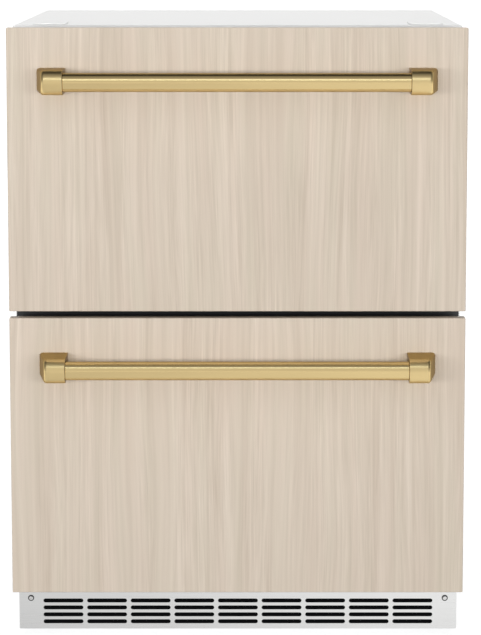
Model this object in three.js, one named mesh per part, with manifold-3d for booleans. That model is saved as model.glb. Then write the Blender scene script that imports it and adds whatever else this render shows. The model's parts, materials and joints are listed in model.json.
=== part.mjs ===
// Undercounter drawer refrigerator: two panelled drawers in an insulated steel cabinet.
// Millimetres, +Z up. X runs across the front, the front faces -Y and the floor is z = 0.

import * as THREE from 'three';
import { mergeVertices } from 'three/addons/utils/BufferGeometryUtils.js';
import Module from 'manifold-3d';

const wasm = await Module();
wasm.setup();

// ---------------------------------------------------------------------------
// Driving dimensions
// ---------------------------------------------------------------------------

// Fits
const SEAT = 0.3;                 // gap between pieces that are fastened or rest together
const RUN = 0.5;                  // running gap beside a moving piece

// Cabinet
const CABINET_WIDTH = 595;
const CABINET_DEPTH = 530;
const CABINET_TOP = 833;          // top of the cabinet above the floor
const CORNER_BEND = 3;            // outside bend where the sides meet the top
const TOE_HEIGHT = 84;            // underside of the insulated box above the floor
const SKIRT_HEIGHT = 16;          // underside of the side sheets above the floor
const STEEL = 1;                  // sheet of the outer casing
const FLANGE = 35;                // steel face turned in around the front opening
const WALL = 40;                  // insulated wall, outside to compartment
const REAR_WALL = 41;             // insulated rear wall, outside to compartment
const MULLION = 72;               // insulated bar between the compartments
const MULLION_STRIP = [1, 24];    // thickness and height of the strip over its cover
const STRIP_INSET = 1.5;          // strip's ends from the cabinet's sides
const LINER = 1.5;                // moulded liner
const LINER_CORNER = 12;          // inside corners of the compartments

// Machine room behind the lower compartment
const MACHINE_DEPTH = 199;
const STEP_CLEARANCE = 1.5;       // lower rails above the corner of the step over this room
const REAR_RECESS = 3;            // rear grille behind the cabinet's back face

// Kick grille
const GRILLE_BOTTOM = 12;
const GRILLE_TOP_GAP = 4;         // grille's top edge below the insulated box
const GRILLE_SHEET = 1.5;
const GRILLE_RETURN = 18;         // depth of the turned-back ends
const SLOT_COLUMNS = 9;
const SLOT_ROWS = 4;
const SLOT_MARGIN = 32.75;        // first slot from the cabinet's side
const SLOT_GAP = 5.1;             // bar between two columns
const SLOT_HEIGHT = 4.9;
const SLOT_ROW_PITCH = 9.7;
const SLOT_FIRST_ROW = 22.2;      // centre of the lowest row above the floor
const KICK_SCREW_INSET = 16;      // from the cabinet's side
const KICK_SCREW_Z = 55;
const KICK_SCREW_SHANK = 1.5;     // radius
const KICK_SCREW_HEAD = 3;        // radius
const KICK_SCREW_DOME = 1.8;      // height of the head
const KICK_SCREW_LENGTH = 12;

// Base tray and feet
const TRAY_SHEET = 1.5;
const TRAY_EAR = 28;              // width of the front tabs that the grille is screwed to
const FOOT_INSET = 32;            // foot axis from the cabinet's side
const FOOT_FRONT = 62;            // front feet from the cabinet's front
const FOOT_REAR = 38;             // rear feet from the cabinet's back
const FOOT_PAD_RADIUS = 18;
const FOOT_PAD = 6;
const FOOT_NUT = 22;              // across the flats
const FOOT_STEM_RADIUS = 5;
const FOOT_STEM_TOP = 62;
const FOOT_BOSS_RADIUS = 10;
const FOOT_BOSS = 14;

// Drawer fronts
const PANEL_OVERHANG = 1.5;       // beyond each side of the cabinet
const PANEL_THICKNESS = 18.5;
const PANEL_GAP = 9;
const PANEL_TOP_DROP = 0.5;       // upper panel's top edge below the cabinet's top
const UPPER_PANEL_SHARE = 0.501;  // upper panel's part of the height of both
const PANEL_EASING = 1;           // eased edges of the veneered panel
const DOOR_THICKNESS = 47.7;
const DOOR_SIDE_INSET = 4;
const DOOR_TOP_INSET = 9.5;
const DOOR_BOTTOM_INSET = 6;
const DOOR_CORNER = 4;
const DIKE = 6;                   // raised field of the door's inner face
const DIKE_CLEARANCE = 4;         // beside the gasket
const GASKET_SPACE = 10;          // between door and cabinet
const GASKET_WIDTH = 20;
const GASKET_INSET = 2.5;         // from the door's edge

// Handles
const HANDLE_INSET = 39.3;        // posts' bases from the panel's sides
const HANDLE_STANDOFF = 62;       // front of the post ahead of the panel
const POST_BASE = 37.2;           // width of a post at the panel
const POST_HEIGHT = 32;
const POST_ROUNDING = 3;          // corners of a post's outer end
const POST_TAPER = 10.9;          // outer side's lean between base and front
const BAR_RADIUS = 12;
const SPIGOT_RADIUS = 7;          // turned end of the bar inside a post
const SPIGOT_LENGTH = 12;
const STUD_RADIUS = 3;            // fixing stud behind a post
const STUD_LENGTH = 15;
const STUD_CLEARANCE = 1;
const UPPER_HANDLE_DROP = 67.5;   // bar axis below the panel's top edge
const LOWER_HANDLE_DROP = 61.5;

// Drawer tubs
const TUB_WALL = 1.5;
const TUB_FLOOR_CLEARANCE = 10;
const TUB_HEADROOM = 30;          // rim below the compartment's roof
const TUB_RIM = 2.5;
const TUB_RIM_WIDTH = 6;
const TUB_CORNER = 22;
const TUB_REAR_CLEARANCE = 12;

// Slides: three nested members a side
const SLIDE_THICKNESS = 12.7;
const SLIDE_HEIGHT = 45;
const SLIDE_SHEET = 1.2;
const RACE = 2;                   // ball race between two members
const RAIL_START = 12;            // front end of the rails behind the cabinet's front
const RAIL_DROP = 1;              // rails below the tub's rim
const MIDDLE_SHORTER = 20;        // middle member shorter than its neighbours
const LOWER_RAIL_LENGTH = 320;

// Cold side
const EVAPORATOR_SPACE = 62;      // behind its cover
const COVER_SHEET = 2.5;
const INTAKE_SLOTS = 11;
const INTAKE_PITCH = 34;
const INTAKE_SLOT = [10, 44];      // width and height of an intake slot
const INTAKE_LIFT = 24;           // intake slots above the compartment's floor
const OUTLET_BARS = 7;            // slots in front of the fan
const OUTLET_PITCH = 14;
const OUTLET_SLOT = 8;
const OUTLET_MARGIN = 4;          // outlet's radius beyond the fan's
const COIL_LENGTH = 320;
const COIL_DEPTH = 44;
const COIL_HEIGHT = 128;
const COIL_FINS = 16;
const COIL_PASSES = 4;
const COLD_FAN_RADIUS = 52;
const COLD_FAN_DROP = 92;         // fan axis below the compartment's roof

// Coils
const END_PLATE = 2;
const FIN = 1;
const FIN_WEB = 2;                // web that stands for the tubes and closes the fin pack
const COIL_LIFT = 8;              // fins above the coil's feet
const TUBE_RADIUS = 4;
const TUBE_STEPS = 8;
const BEND_START = 1;             // straight tube between an end plate and its bends

// Fans and their motors
const FAN_HUB_LENGTH = 16;
const FAN_HUB_SHARE = 0.3;        // hub's radius as a share of the fan's
const FAN_HUB_CHAMFER = 3;
const FAN_BORE = 3;               // radius
const FAN_BORE_END = 4;           // solid hub beyond the end of the bore
const FAN_BLADES = 5;
const BLADE_THICKNESS = 1.6;
const BLADE_ROOT = 2;             // blade sunk into the hub
const BLADE_PITCH = 1.3;          // blade's rise as a share of the hub's length
const BLADE_CHORD_STEPS = 3;
const BLADE_RADIAL_STEPS = 2;
const COLD_MOTOR = [18, 22];      // radius and length
const WARM_MOTOR = [23, 26];
const MOTOR_CHAMFER = 6;
const FAN_GAP = 4;                // between a motor and its fan's hub

// Lights and control
const LIGHT_LENGTH = 150;
const LIGHT_WIDTH = 26;
const LIGHT_DROP = 5.5;
const LIGHT_SETBACK = 150;        // front edge behind the cabinet's front
const CONTROL_LENGTH = 170;
const CONTROL_DEPTH = 44;
const CONTROL_DROP = 15;
const CONTROL_SETBACK = 8;

// Machine room pieces
const COMPRESSOR_INSET = 122.5;   // from the cabinet's left side
const COMPRESSOR_RADIUS = 74;
const COMPRESSOR_HEIGHT = 172;
const COMPRESSOR_LEGS = 14;
const COMPRESSOR_LEG_INSET = 12;
const COMPRESSOR_PLATE = 4;
const COMPRESSOR_PLATE_CORNER = 10;
const COMPRESSOR_LEG_RADIUS = 9;
const COMPRESSOR_PLATE_SHARE = 0.9; // depth of the base plate against its width
// Pot from its base up, as shares of its radius and height
const COMPRESSOR_POT = [
  [0.72, 0], [0.93, 0.08], [0.96, 0.2], [0.96, 0.46], [1, 0.46], [1, 0.5], [0.96, 0.5],
  [0.95, 0.73], [0.84, 0.9], [0.6, 0.98], [0.4, 1],
];
const TERMINAL_BOX = [44, 48, 12]; // width, height and how far it stands out
const STUB_DROP = 60;             // outlet stub below the pot's top
const STUB_REACH = 14;            // beyond the pot's radius
const WARM_FAN_X = 20;            // shroud plate's left face
const WARM_FAN_RADIUS = 70;
const WARM_FAN_CLEARANCE = 4;
const SHROUD_WIDTH = 170;
const SHROUD_CORNER = 6;
const SHROUD_HEADROOM = 54.7;     // below the machine room's roof
const SHROUD_ARMS = 3;
const RING_DEGREES = [6, 114];    // opening between two arms at the ring
const HUB_DEGREES = [20, 100];    // and at the motor
const SHROUD_BEYOND_FAN = 4;      // ring's length beyond the fan
const CONDENSER_X = 105;          // air-inlet face
const CONDENSER_PASSES = 6;
const CONDENSER_CLEARANCE = 8;    // coil's bends beside the machine room's walls
const CONDENSER_DEPTH = 52;
const CONDENSER_HEADROOM = 66.7;
const CONDENSER_FINS = 15;
const DRAIN_TRAY = [150, 140, 26]; // width, depth and height
const DRAIN_TRAY_WALL = 1.8;
const DRAIN_TRAY_CORNER = 16;
const PIPE_RADIUS = 4;
const PIPE_HEADROOM = 28.7;       // crown's centre below the machine room's roof
const PIPE_BEND = 26;

// Vents in the rear grille
const VENT_COLUMNS = 4;
const VENT_ROWS = 7;
const VENT_MARGIN = 42;           // beside, and above the highest row
const VENT_GAP = 20;              // bar between two columns
const VENT_HEIGHT = 8;
const VENT_LIFT = 34;             // lowest row above the inlet

// Power inlet
const INLET_INSET = 72.5;         // from the cabinet's left side
const INLET_Z = 66;
const INLET_BODY = [28, 21, 22];  // width, height and depth
const INLET_FLANGE = [34, 27, 2];
const INLET_SOCKET = [23, 16, 19];
const INLET_PIN = [2, 5.5, 12];
const INLET_PINS = [[-7, -1.5], [0, 2.5], [7, -1.5]];

// Counter brackets
const BRACKET_INSET = 47.5;       // centre from the cabinet's side
const BRACKET = [44, 60, 1.5];    // width, depth and thickness
const BRACKET_SETBACK = 4;        // front edge behind the cabinet's front
const BRACKET_HOLE_RADIUS = 2.6;

// ---------------------------------------------------------------------------
// Sizes that follow
// ---------------------------------------------------------------------------

const halfWidth = CABINET_WIDTH / 2;
const panelHalf = halfWidth + PANEL_OVERHANG;
const slotPitch = (CABINET_WIDTH - 2 * SLOT_MARGIN + SLOT_GAP) / SLOT_COLUMNS;
const inletX = INLET_INSET - halfWidth;
const compressorX = COMPRESSOR_INSET - halfWidth;
const kickScrewX = halfWidth - KICK_SCREW_INSET;
const insideHalf = halfWidth - WALL;
const casingInside = halfWidth - STEEL - SEAT;
const doorBack = -GASKET_SPACE;
const doorFront = doorBack - DOOR_THICKNESS;
const panelBack = doorFront - SEAT;
const panelFront = panelBack - PANEL_THICKNESS;
const handleFront = panelFront - HANDLE_STANDOFF;

const upperPanelTop = CABINET_TOP - PANEL_TOP_DROP;
const lowerPanelBottom = TOE_HEIGHT;
const upperPanelHeight = (upperPanelTop - PANEL_GAP - lowerPanelBottom) * UPPER_PANEL_SHARE;
const upperPanelBottom = upperPanelTop - upperPanelHeight;
const lowerPanelTop = upperPanelBottom - PANEL_GAP;
const mullionCentre = upperPanelBottom - PANEL_GAP / 2;

const machineFront = CABINET_DEPTH - MACHINE_DEPTH;
const trayTop = SKIRT_HEIGHT + TRAY_SHEET;
const rearGrilleBack = CABINET_DEPTH - REAR_RECESS;
const rearGrilleFront = rearGrilleBack - STEEL;
const compartmentDepth = CABINET_DEPTH - REAR_WALL;
const evaporatorCoverBack = compartmentDepth - EVAPORATOR_SPACE;
const evaporatorCoverFront = evaporatorCoverBack - COVER_SHEET;

const tubHalf = insideHalf - SLIDE_THICKNESS - SEAT;
const tubFront = doorBack + DIKE + SEAT;
const foamFront = Math.max(STEEL, LINER) + SEAT;
const linerLip = WALL - FLANGE - SEAT;

const UPPER = {
  name: 'upper',
  panelBottom: upperPanelBottom,
  panelHeight: upperPanelHeight,
  handleDrop: UPPER_HANDLE_DROP,
  floor: mullionCentre + MULLION / 2,
  roof: CABINET_TOP - WALL,
  tubBack: evaporatorCoverFront - TUB_REAR_CLEARANCE,
};
UPPER.railLength = UPPER.tubBack - RAIL_START;

const LOWER = {
  name: 'lower',
  panelBottom: lowerPanelBottom,
  panelHeight: lowerPanelTop - lowerPanelBottom,
  handleDrop: LOWER_HANDLE_DROP,
  floor: TOE_HEIGHT + WALL,
  roof: mullionCentre - MULLION / 2,
  tubBack: machineFront - WALL - TUB_REAR_CLEARANCE,
  railLength: LOWER_RAIL_LENGTH,
};

for (const level of [UPPER, LOWER]) {
  level.rimTop = level.roof - TUB_HEADROOM;
  level.railHeight = level.rimTop - TUB_RIM - RAIL_DROP - SLIDE_HEIGHT / 2;
}

// The lower compartment steps up over the machine room, just under the rails.
const stepHeight = LOWER.railHeight - SLIDE_HEIGHT / 2 - STEP_CLEARANCE - LINER_CORNER;
const machineTop = stepHeight - WALL;

const SIDES = [['left', -1], ['right', 1]];

// ---------------------------------------------------------------------------
// Finishes
// ---------------------------------------------------------------------------

const FINISHES = {
  veneer: { color: 0xd5c8b8, roughness: 0.55, metalness: 0 },
  bronze: { color: 0xc9b183, roughness: 0.3, metalness: 1 },
  stainless: { color: 0xd2d2d0, roughness: 0.32, metalness: 1 },
  doorSkin: { color: 0xcccccc, roughness: 0.45, metalness: 0.6 },
  casing: { color: 0xe6e6e4, roughness: 0.45, metalness: 0.6 },
  galvanised: { color: 0xb9bcbe, roughness: 0.5, metalness: 1 },
  liner: { color: 0xeceeee, roughness: 0.4, metalness: 0 },
  foam: { color: 0xe2d3a4, roughness: 0.9, metalness: 0 },
  trim: { color: 0x2b2b2d, roughness: 0.5, metalness: 0 },
  gasket: { color: 0x1a1a1b, roughness: 0.7, metalness: 0 },
  black: { color: 0x111214, roughness: 0.4, metalness: 0 },
  enamel: { color: 0x17181a, roughness: 0.35, metalness: 0.2 },
  lens: { color: 0xf7f7f2, roughness: 0.25, metalness: 0 },
  copper: { color: 0xb87550, roughness: 0.35, metalness: 1 },
  aluminium: { color: 0xc9ccce, roughness: 0.4, metalness: 1 },
};

// ---------------------------------------------------------------------------
// Outlines, solids and placing
// ---------------------------------------------------------------------------

const ACROSS = new THREE.Matrix4().makeBasis(
  new THREE.Vector3(0, 1, 0), new THREE.Vector3(0, 0, 1), new THREE.Vector3(1, 0, 0));
const INWARD = new THREE.Matrix4().makeBasis(
  new THREE.Vector3(1, 0, 0), new THREE.Vector3(0, 0, 1), new THREE.Vector3(0, -1, 0));

function arc(cx, cy, radius, fromDegrees, toDegrees, steps) {
  const points = [];
  for (let i = 0; i <= steps; i += 1) {
    const angle = THREE.MathUtils.degToRad(fromDegrees + (toDegrees - fromDegrees) * i / steps);
    points.push([cx + radius * Math.cos(angle), cy + radius * Math.sin(angle)]);
  }
  return points;
}

function outline(points) {
  return new THREE.Shape(points.map(([u, v]) => new THREE.Vector2(u, v)));
}

function disc(cx, cy, radius, sides = 24) {
  return outline(arc(cx, cy, radius, 0, 360, sides).slice(1));
}

function rounded(u0, u1, v0, v1, radius, steps = 3) {
  const r = Math.min(radius, (u1 - u0) / 2 - 0.01, (v1 - v0) / 2 - 0.01);
  return outline([
    ...arc(u1 - r, v0 + r, r, -90, 0, steps),
    ...arc(u1 - r, v1 - r, r, 0, 90, steps),
    ...arc(u0 + r, v1 - r, r, 90, 180, steps),
    ...arc(u0 + r, v0 + r, r, 180, 270, steps),
  ]);
}

// Outline extruded along the named axis. Across x an outline is (y, z), along y it is (x, z).
function prism(axis, from, to, shape) {
  const geometry = new THREE.ExtrudeGeometry(shape, { depth: to - from, bevelEnabled: false });
  if (axis === 'x') return geometry.applyMatrix4(ACROSS).translate(from, 0, 0);
  if (axis === 'y') return geometry.applyMatrix4(INWARD).translate(0, to, 0);
  return geometry.translate(0, 0, from);
}

function block(x0, x1, y0, y1, z0, z1) {
  const geometry = new THREE.BoxGeometry(x1 - x0, y1 - y0, z1 - z0);
  return geometry.translate((x0 + x1) / 2, (y0 + y1) / 2, (z0 + z1) / 2);
}

// Profile of (radius, z) points turned about the Z axis.
function turned(profile, sides = 24) {
  const points = profile.map(([r, z]) => new THREE.Vector2(r, z));
  return new THREE.LatheGeometry(points, sides).rotateX(Math.PI / 2);
}

function solid(shape) {
  if (!shape.isBufferGeometry) return shape;
  const bare = shape.clone();
  bare.deleteAttribute('normal');
  bare.deleteAttribute('uv');
  const merged = mergeVertices(bare, 1e-5);
  const triangles = [];
  for (let i = 0; i < merged.index.count; i += 3) {
    const [a, b, c] = merged.index.array.slice(i, i + 3);
    if (a !== b && b !== c && c !== a) triangles.push(a, b, c);
  }
  return new wasm.Manifold(new wasm.Mesh({
    numProp: 3,
    vertProperties: merged.attributes.position.array,
    triVerts: new Uint32Array(triangles),
  }));
}

function join(...shapes) {
  return shapes.map(solid).reduce((whole, next) => whole.add(next));
}

function cut(base, ...tools) {
  return tools.map(solid).reduce((whole, next) => whole.subtract(next), solid(base));
}

function common(...shapes) {
  return shapes.map(solid).reduce((whole, next) => whole.intersect(next));
}

function piece(name, shape, finish, x = 0, y = 0, z = 0) {
  const { vertProperties, triVerts } = solid(shape).getMesh();
  const geometry = new THREE.BufferGeometry();
  geometry.setAttribute('position', new THREE.BufferAttribute(vertProperties, 3));
  geometry.setIndex(new THREE.BufferAttribute(triVerts, 1));
  geometry.computeVertexNormals();
  const mesh = new THREE.Mesh(geometry, new THREE.MeshStandardMaterial(FINISHES[finish]));
  mesh.name = name;
  mesh.position.set(x, y, z);
  return mesh;
}

function group(...members) {
  const result = new THREE.Group();
  result.add(...members);
  return result;
}

// ---------------------------------------------------------------------------
// Cabinet
// ---------------------------------------------------------------------------

// Outline of the wrap, an upside-down U seen from the front, with walls of the given width.
function wrapOutline(bottom, width, bend) {
  const inner = halfWidth - width;
  const top = CABINET_TOP;
  return outline([
    [halfWidth, bottom],
    ...arc(halfWidth - bend, top - bend, bend, 0, 90, 4),
    ...arc(-halfWidth + bend, top - bend, bend, 90, 180, 4),
    [-halfWidth, bottom],
    [-inner, bottom],
    [-inner, top - width],
    [inner, top - width],
    [inner, bottom],
  ]);
}

function cabinetShell() {
  const wrap = prism('y', 0, CABINET_DEPTH, wrapOutline(SKIRT_HEIGHT, STEEL, CORNER_BEND));
  const face = prism('y', 0, STEEL, wrapOutline(TOE_HEIGHT, FLANGE, CORNER_BEND));
  const toeNotch = block(-halfWidth - 1, halfWidth + 1, -1, GRILLE_RETURN + SEAT,
    SKIRT_HEIGHT - 1, TOE_HEIGHT);
  return piece('cabinet_shell', cut(join(wrap, face), toeNotch), 'casing');
}

function backPanel() {
  const front = CABINET_DEPTH - STEEL;
  const plate = prism('y', front, CABINET_DEPTH,
    rounded(-casingInside, casingInside, machineTop + SEAT, CABINET_TOP - STEEL - SEAT, 2));
  return piece('back_panel', plate, 'galvanised');
}

// The hollow of a compartment, grown by the given amount on every side but the front.
function hollow(level, grow) {
  const side = insideHalf + grow;
  const corner = LINER_CORNER + grow;
  const low = level.floor - grow;
  const high = level.roof + grow;
  const back = compartmentDepth + grow;
  if (level === UPPER) return prism('y', -1, back, rounded(-side, side, low, high, corner));
  const step = machineTop + WALL - grow;
  const stepFront = machineFront - WALL + grow;
  return join(
    prism('y', -1, stepFront, rounded(-side, side, low, high, corner)),
    prism('y', -1, back, rounded(-side, side, step, high, corner)),
  );
}

function liner(level) {
  const lip = rounded(-insideHalf - linerLip, insideHalf + linerLip, level.floor - linerLip,
    level.roof + linerLip, LINER_CORNER + linerLip);
  const outside = common(hollow(level, LINER),
    block(-halfWidth, halfWidth, 0, CABINET_DEPTH, 0, CABINET_TOP));
  const shell = cut(join(outside, prism('y', 0, LINER, lip)), hollow(level, 0));
  return piece(`${level.name}_liner`, shell, 'liner');
}

function insulation() {
  const back = CABINET_DEPTH - STEEL - SEAT;
  const top = CABINET_TOP - STEEL - SEAT;
  const side = outline([
    [foamFront, TOE_HEIGHT + STEEL + SEAT],
    [machineFront - SEAT, TOE_HEIGHT + STEEL + SEAT],
    [machineFront - SEAT, machineTop + SEAT],
    [back, machineTop + SEAT],
    [back, top],
    [foamFront, top],
  ]);
  const foam = prism('x', -casingInside, casingInside, side);
  const room = LINER + SEAT;
  return piece('insulation', cut(foam, hollow(UPPER, room), hollow(LOWER, room)), 'foam');
}

function mullionCover() {
  const side = halfWidth - FLANGE - SEAT;
  const low = LOWER.roof + linerLip + SEAT;
  const high = UPPER.floor - linerLip - SEAT;
  return piece('mullion_cover', prism('y', 0, STEEL, rounded(-side, side, low, high, 1)), 'trim');
}

// Dark strip between the two doors, over the cover and the flanges at its ends.
function mullionStrip() {
  const [thickness, height] = MULLION_STRIP;
  const side = halfWidth - STRIP_INSET;
  return piece('mullion_strip', prism('y', -SEAT - thickness, -SEAT, rounded(-side, side,
    mullionCentre - height / 2, mullionCentre + height / 2, 1)), 'trim');
}

// One folded sheet: the sill's face, the floor of the box and the wall and roof of the machine room.
function floorPan() {
  const back = CABINET_DEPTH - STEEL - SEAT;
  const fold = outline([
    [0, TOE_HEIGHT],
    [machineFront + STEEL, TOE_HEIGHT],
    [machineFront + STEEL, machineTop - STEEL],
    [back, machineTop - STEEL],
    [back, machineTop],
    [machineFront, machineTop],
    [machineFront, TOE_HEIGHT + STEEL],
    [STEEL, TOE_HEIGHT + STEEL],
    [STEEL, TOE_HEIGHT + FLANGE],
    [0, TOE_HEIGHT + FLANGE],
  ]);
  const corners = SIDES.map(([, side]) => {
    const inner = side * (halfWidth - FLANGE - SEAT);
    const outer = side * (halfWidth + 1);
    return block(Math.min(inner, outer), Math.max(inner, outer), -1, STEEL + SEAT,
      TOE_HEIGHT - 1, TOE_HEIGHT + FLANGE + 1);
  });
  return piece('floor_pan', cut(prism('x', -casingInside, casingInside, fold), ...corners),
    'galvanised');
}

function counterBracket(name, side) {
  const [width, depth, thickness] = BRACKET;
  const plate = prism('z', 0, thickness, rounded(-width / 2, width / 2, 0, depth, 4));
  const holes = [-1, 1].map((end) => prism('z', -1, thickness + 1,
    disc(end * width / 4, depth * 0.7, BRACKET_HOLE_RADIUS, 12)));
  return piece(`counter_bracket_${name}`, cut(plate, ...holes), 'casing',
    side * (halfWidth - BRACKET_INSET), BRACKET_SETBACK, CABINET_TOP + SEAT);
}

// ---------------------------------------------------------------------------
// Base: tray, kick grille, feet
// ---------------------------------------------------------------------------

const trayHalf = halfWidth - Math.max(STEEL, GRILLE_SHEET) - SEAT;
const trayFront = GRILLE_SHEET + SEAT;
const trayBack = rearGrilleFront - SEAT;
const trayWallTop = TOE_HEIGHT - SEAT;

const FEET = [];
for (const [sideName, side] of SIDES) {
  FEET.push([`front_${sideName}`, side * (halfWidth - FOOT_INSET), FOOT_FRONT]);
  FEET.push([`rear_${sideName}`, side * (halfWidth - FOOT_INSET), CABINET_DEPTH - FOOT_REAR]);
}

function baseTray() {
  const bottom = block(-trayHalf, trayHalf, trayFront, trayBack, SKIRT_HEIGHT, trayTop);
  const walls = [-1, 1].map((side) => {
    const outer = side * trayHalf;
    const inner = side * (trayHalf - TRAY_SHEET);
    return block(Math.min(outer, inner), Math.max(outer, inner), trayFront, trayBack,
      SKIRT_HEIGHT, trayWallTop);
  });
  const ears = [-1, 1].map((side) => {
    const outer = side * trayHalf;
    const inner = side * (trayHalf - TRAY_EAR);
    return block(Math.min(outer, inner), Math.max(outer, inner), trayFront,
      trayFront + TRAY_SHEET, SKIRT_HEIGHT, trayWallTop);
  });
  const bosses = FEET.map(([, x, y]) => prism('z', SKIRT_HEIGHT, SKIRT_HEIGHT + FOOT_BOSS,
    disc(x, y, FOOT_BOSS_RADIUS, 12)));
  const stemHoles = FEET.map(([, x, y]) => prism('z', SKIRT_HEIGHT - 1, SKIRT_HEIGHT + FOOT_BOSS + 1,
    disc(x, y, FOOT_STEM_RADIUS + SEAT, 12)));
  const screwHoles = [-1, 1].map((side) => prism('y', 0, trayFront + TRAY_SHEET + 1,
    disc(side * kickScrewX, KICK_SCREW_Z, KICK_SCREW_SHANK + SEAT, 12)));
  const tray = cut(join(bottom, ...walls, ...ears, ...bosses), ...stemHoles, ...screwHoles);
  return piece('base_tray', tray, 'galvanised');
}

// A round-ended slot lying along X.
function slotOutline(cx, cz, length, height, steps = 3) {
  const r = height / 2;
  return outline([
    ...arc(cx + length / 2 - r, cz, r, -90, 90, steps),
    ...arc(cx - length / 2 + r, cz, r, 90, 270, steps),
  ]);
}

function kickGrille() {
  const top = TOE_HEIGHT - GRILLE_TOP_GAP;
  const face = rounded(-halfWidth, halfWidth, GRILLE_BOTTOM, top, 1, 1);
  for (let column = 0; column < SLOT_COLUMNS; column += 1) {
    const x = (column - (SLOT_COLUMNS - 1) / 2) * slotPitch;
    for (let row = 0; row < SLOT_ROWS; row += 1) {
      const z = SLOT_FIRST_ROW + row * SLOT_ROW_PITCH;
      face.holes.push(slotOutline(x, z, slotPitch - SLOT_GAP, SLOT_HEIGHT));
    }
  }
  for (const side of [-1, 1]) {
    face.holes.push(disc(side * kickScrewX, KICK_SCREW_Z, KICK_SCREW_SHANK + SEAT, 12));
  }
  const ends = [-1, 1].map((side) => {
    const outer = side * halfWidth;
    const inner = side * (halfWidth - GRILLE_SHEET);
    return block(Math.min(outer, inner), Math.max(outer, inner), GRILLE_SHEET / 2, GRILLE_RETURN,
      GRILLE_BOTTOM + 1, top - 1);
  });
  return piece('kick_grille', join(prism('y', 0, GRILLE_SHEET, face), ...ends), 'stainless');
}

// Pan-head screw, its head in front of y = 0 and its shank behind.
function kickScrew(name, side) {
  const screw = turned([
    [0, -KICK_SCREW_LENGTH],
    [KICK_SCREW_SHANK, -KICK_SCREW_LENGTH],
    [KICK_SCREW_SHANK, SEAT],
    [KICK_SCREW_HEAD, SEAT],
    [KICK_SCREW_HEAD, SEAT + KICK_SCREW_DOME * 0.4],
    [KICK_SCREW_HEAD * 0.72, SEAT + KICK_SCREW_DOME * 0.9],
    [0, SEAT + KICK_SCREW_DOME],
  ], 16).rotateX(Math.PI / 2);
  return piece(`kick_screw_${name}`, screw, 'stainless', side * kickScrewX, 0, KICK_SCREW_Z);
}

function foot(name, x, y) {
  const nutTop = SKIRT_HEIGHT - SEAT;
  const pad = turned([
    [0, 0],
    [FOOT_PAD_RADIUS - 1, 0],
    [FOOT_PAD_RADIUS, 1],
    [FOOT_PAD_RADIUS, FOOT_PAD - 2],
    [FOOT_PAD_RADIUS - 2, FOOT_PAD],
    [0, FOOT_PAD],
  ], 16);
  const nut = prism('z', FOOT_PAD - 1, nutTop, disc(0, 0, FOOT_NUT / Math.sqrt(3), 6));
  const stem = prism('z', FOOT_PAD - 1, FOOT_STEM_TOP, disc(0, 0, FOOT_STEM_RADIUS, 12));
  return piece(`foot_${name}`, join(pad, nut, stem), 'black', x, y, 0);
}

// ---------------------------------------------------------------------------
// Drawers
// ---------------------------------------------------------------------------

const handleHalf = panelHalf - HANDLE_INSET;
const postInner = handleHalf - POST_BASE;
const barAhead = HANDLE_STANDOFF - POST_HEIGHT / 2;

// Pairs of fixing studs behind a post, as (x from the post's inner side, z from the bar's axis).
const STUD_X = POST_BASE * 0.42;
const STUD_Z = POST_HEIGHT * 0.28;

function panel(level) {
  const depth = PANEL_THICKNESS - 2 * PANEL_EASING;
  const face = rounded(-panelHalf, panelHalf, 0, level.panelHeight, 0.6, 1);
  const board = new THREE.ExtrudeGeometry(face, {
    depth,
    bevelEnabled: true,
    bevelThickness: PANEL_EASING,
    bevelSize: PANEL_EASING,
    bevelOffset: -PANEL_EASING,
    bevelSegments: 1,
  }).applyMatrix4(INWARD).translate(0, panelBack - PANEL_EASING, 0);
  const bar = level.panelHeight - level.handleDrop;
  const holes = [];
  for (const side of [-1, 1]) {
    for (const lift of [-STUD_Z, STUD_Z]) {
      holes.push(prism('y', panelFront - 1, panelBack + 1,
        disc(side * (postInner + STUD_X), bar + lift, STUD_RADIUS + STUD_CLEARANCE, 8)));
    }
  }
  return piece(`${level.name}_panel`, cut(board, ...holes), 'veneer');
}

function door(level) {
  const half = panelHalf - DOOR_SIDE_INSET;
  const low = DOOR_BOTTOM_INSET;
  const high = level.panelHeight - DOOR_TOP_INSET;
  const body = prism('y', doorFront, doorBack, rounded(-half, half, low, high, DOOR_CORNER));
  const margin = GASKET_INSET + GASKET_WIDTH + DIKE_CLEARANCE;
  const field = rounded(-half + margin + DIKE, half - margin - DIKE, low + margin + DIKE,
    high - margin - DIKE, DIKE);
  const dike = new THREE.ExtrudeGeometry(field, {
    depth: 1,
    bevelEnabled: true,
    bevelThickness: DIKE,
    bevelSize: DIKE,
    bevelSegments: 1,
  }).applyMatrix4(INWARD).translate(0, doorBack, 0);
  return piece(`${level.name}_door`, join(body, dike), 'doorSkin');
}

// A closed profile of (outward, y) points carried round a rectangle with mitred corners.
function mitredRing(profile, x0, x1, z0, z1) {
  const corners = [[x1, z1, 1, 1], [x0, z1, -1, 1], [x0, z0, -1, -1], [x1, z0, 1, -1]];
  const count = profile.length;
  const positions = corners.flatMap(([x, z, sx, sz]) => (
    profile.flatMap(([out, y]) => [x + sx * out, y, z + sz * out])));
  const index = [];
  for (let corner = 0; corner < 4; corner += 1) {
    for (let i = 0; i < count; i += 1) {
      const a = corner * count + i;
      const b = corner * count + (i + 1) % count;
      const c = ((corner + 1) % 4) * count + (i + 1) % count;
      const d = ((corner + 1) % 4) * count + i;
      index.push(a, c, b, a, d, c);
    }
  }
  const geometry = new THREE.BufferGeometry();
  geometry.setAttribute('position', new THREE.Float32BufferAttribute(positions, 3));
  geometry.setIndex(index);
  return geometry;
}

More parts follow.
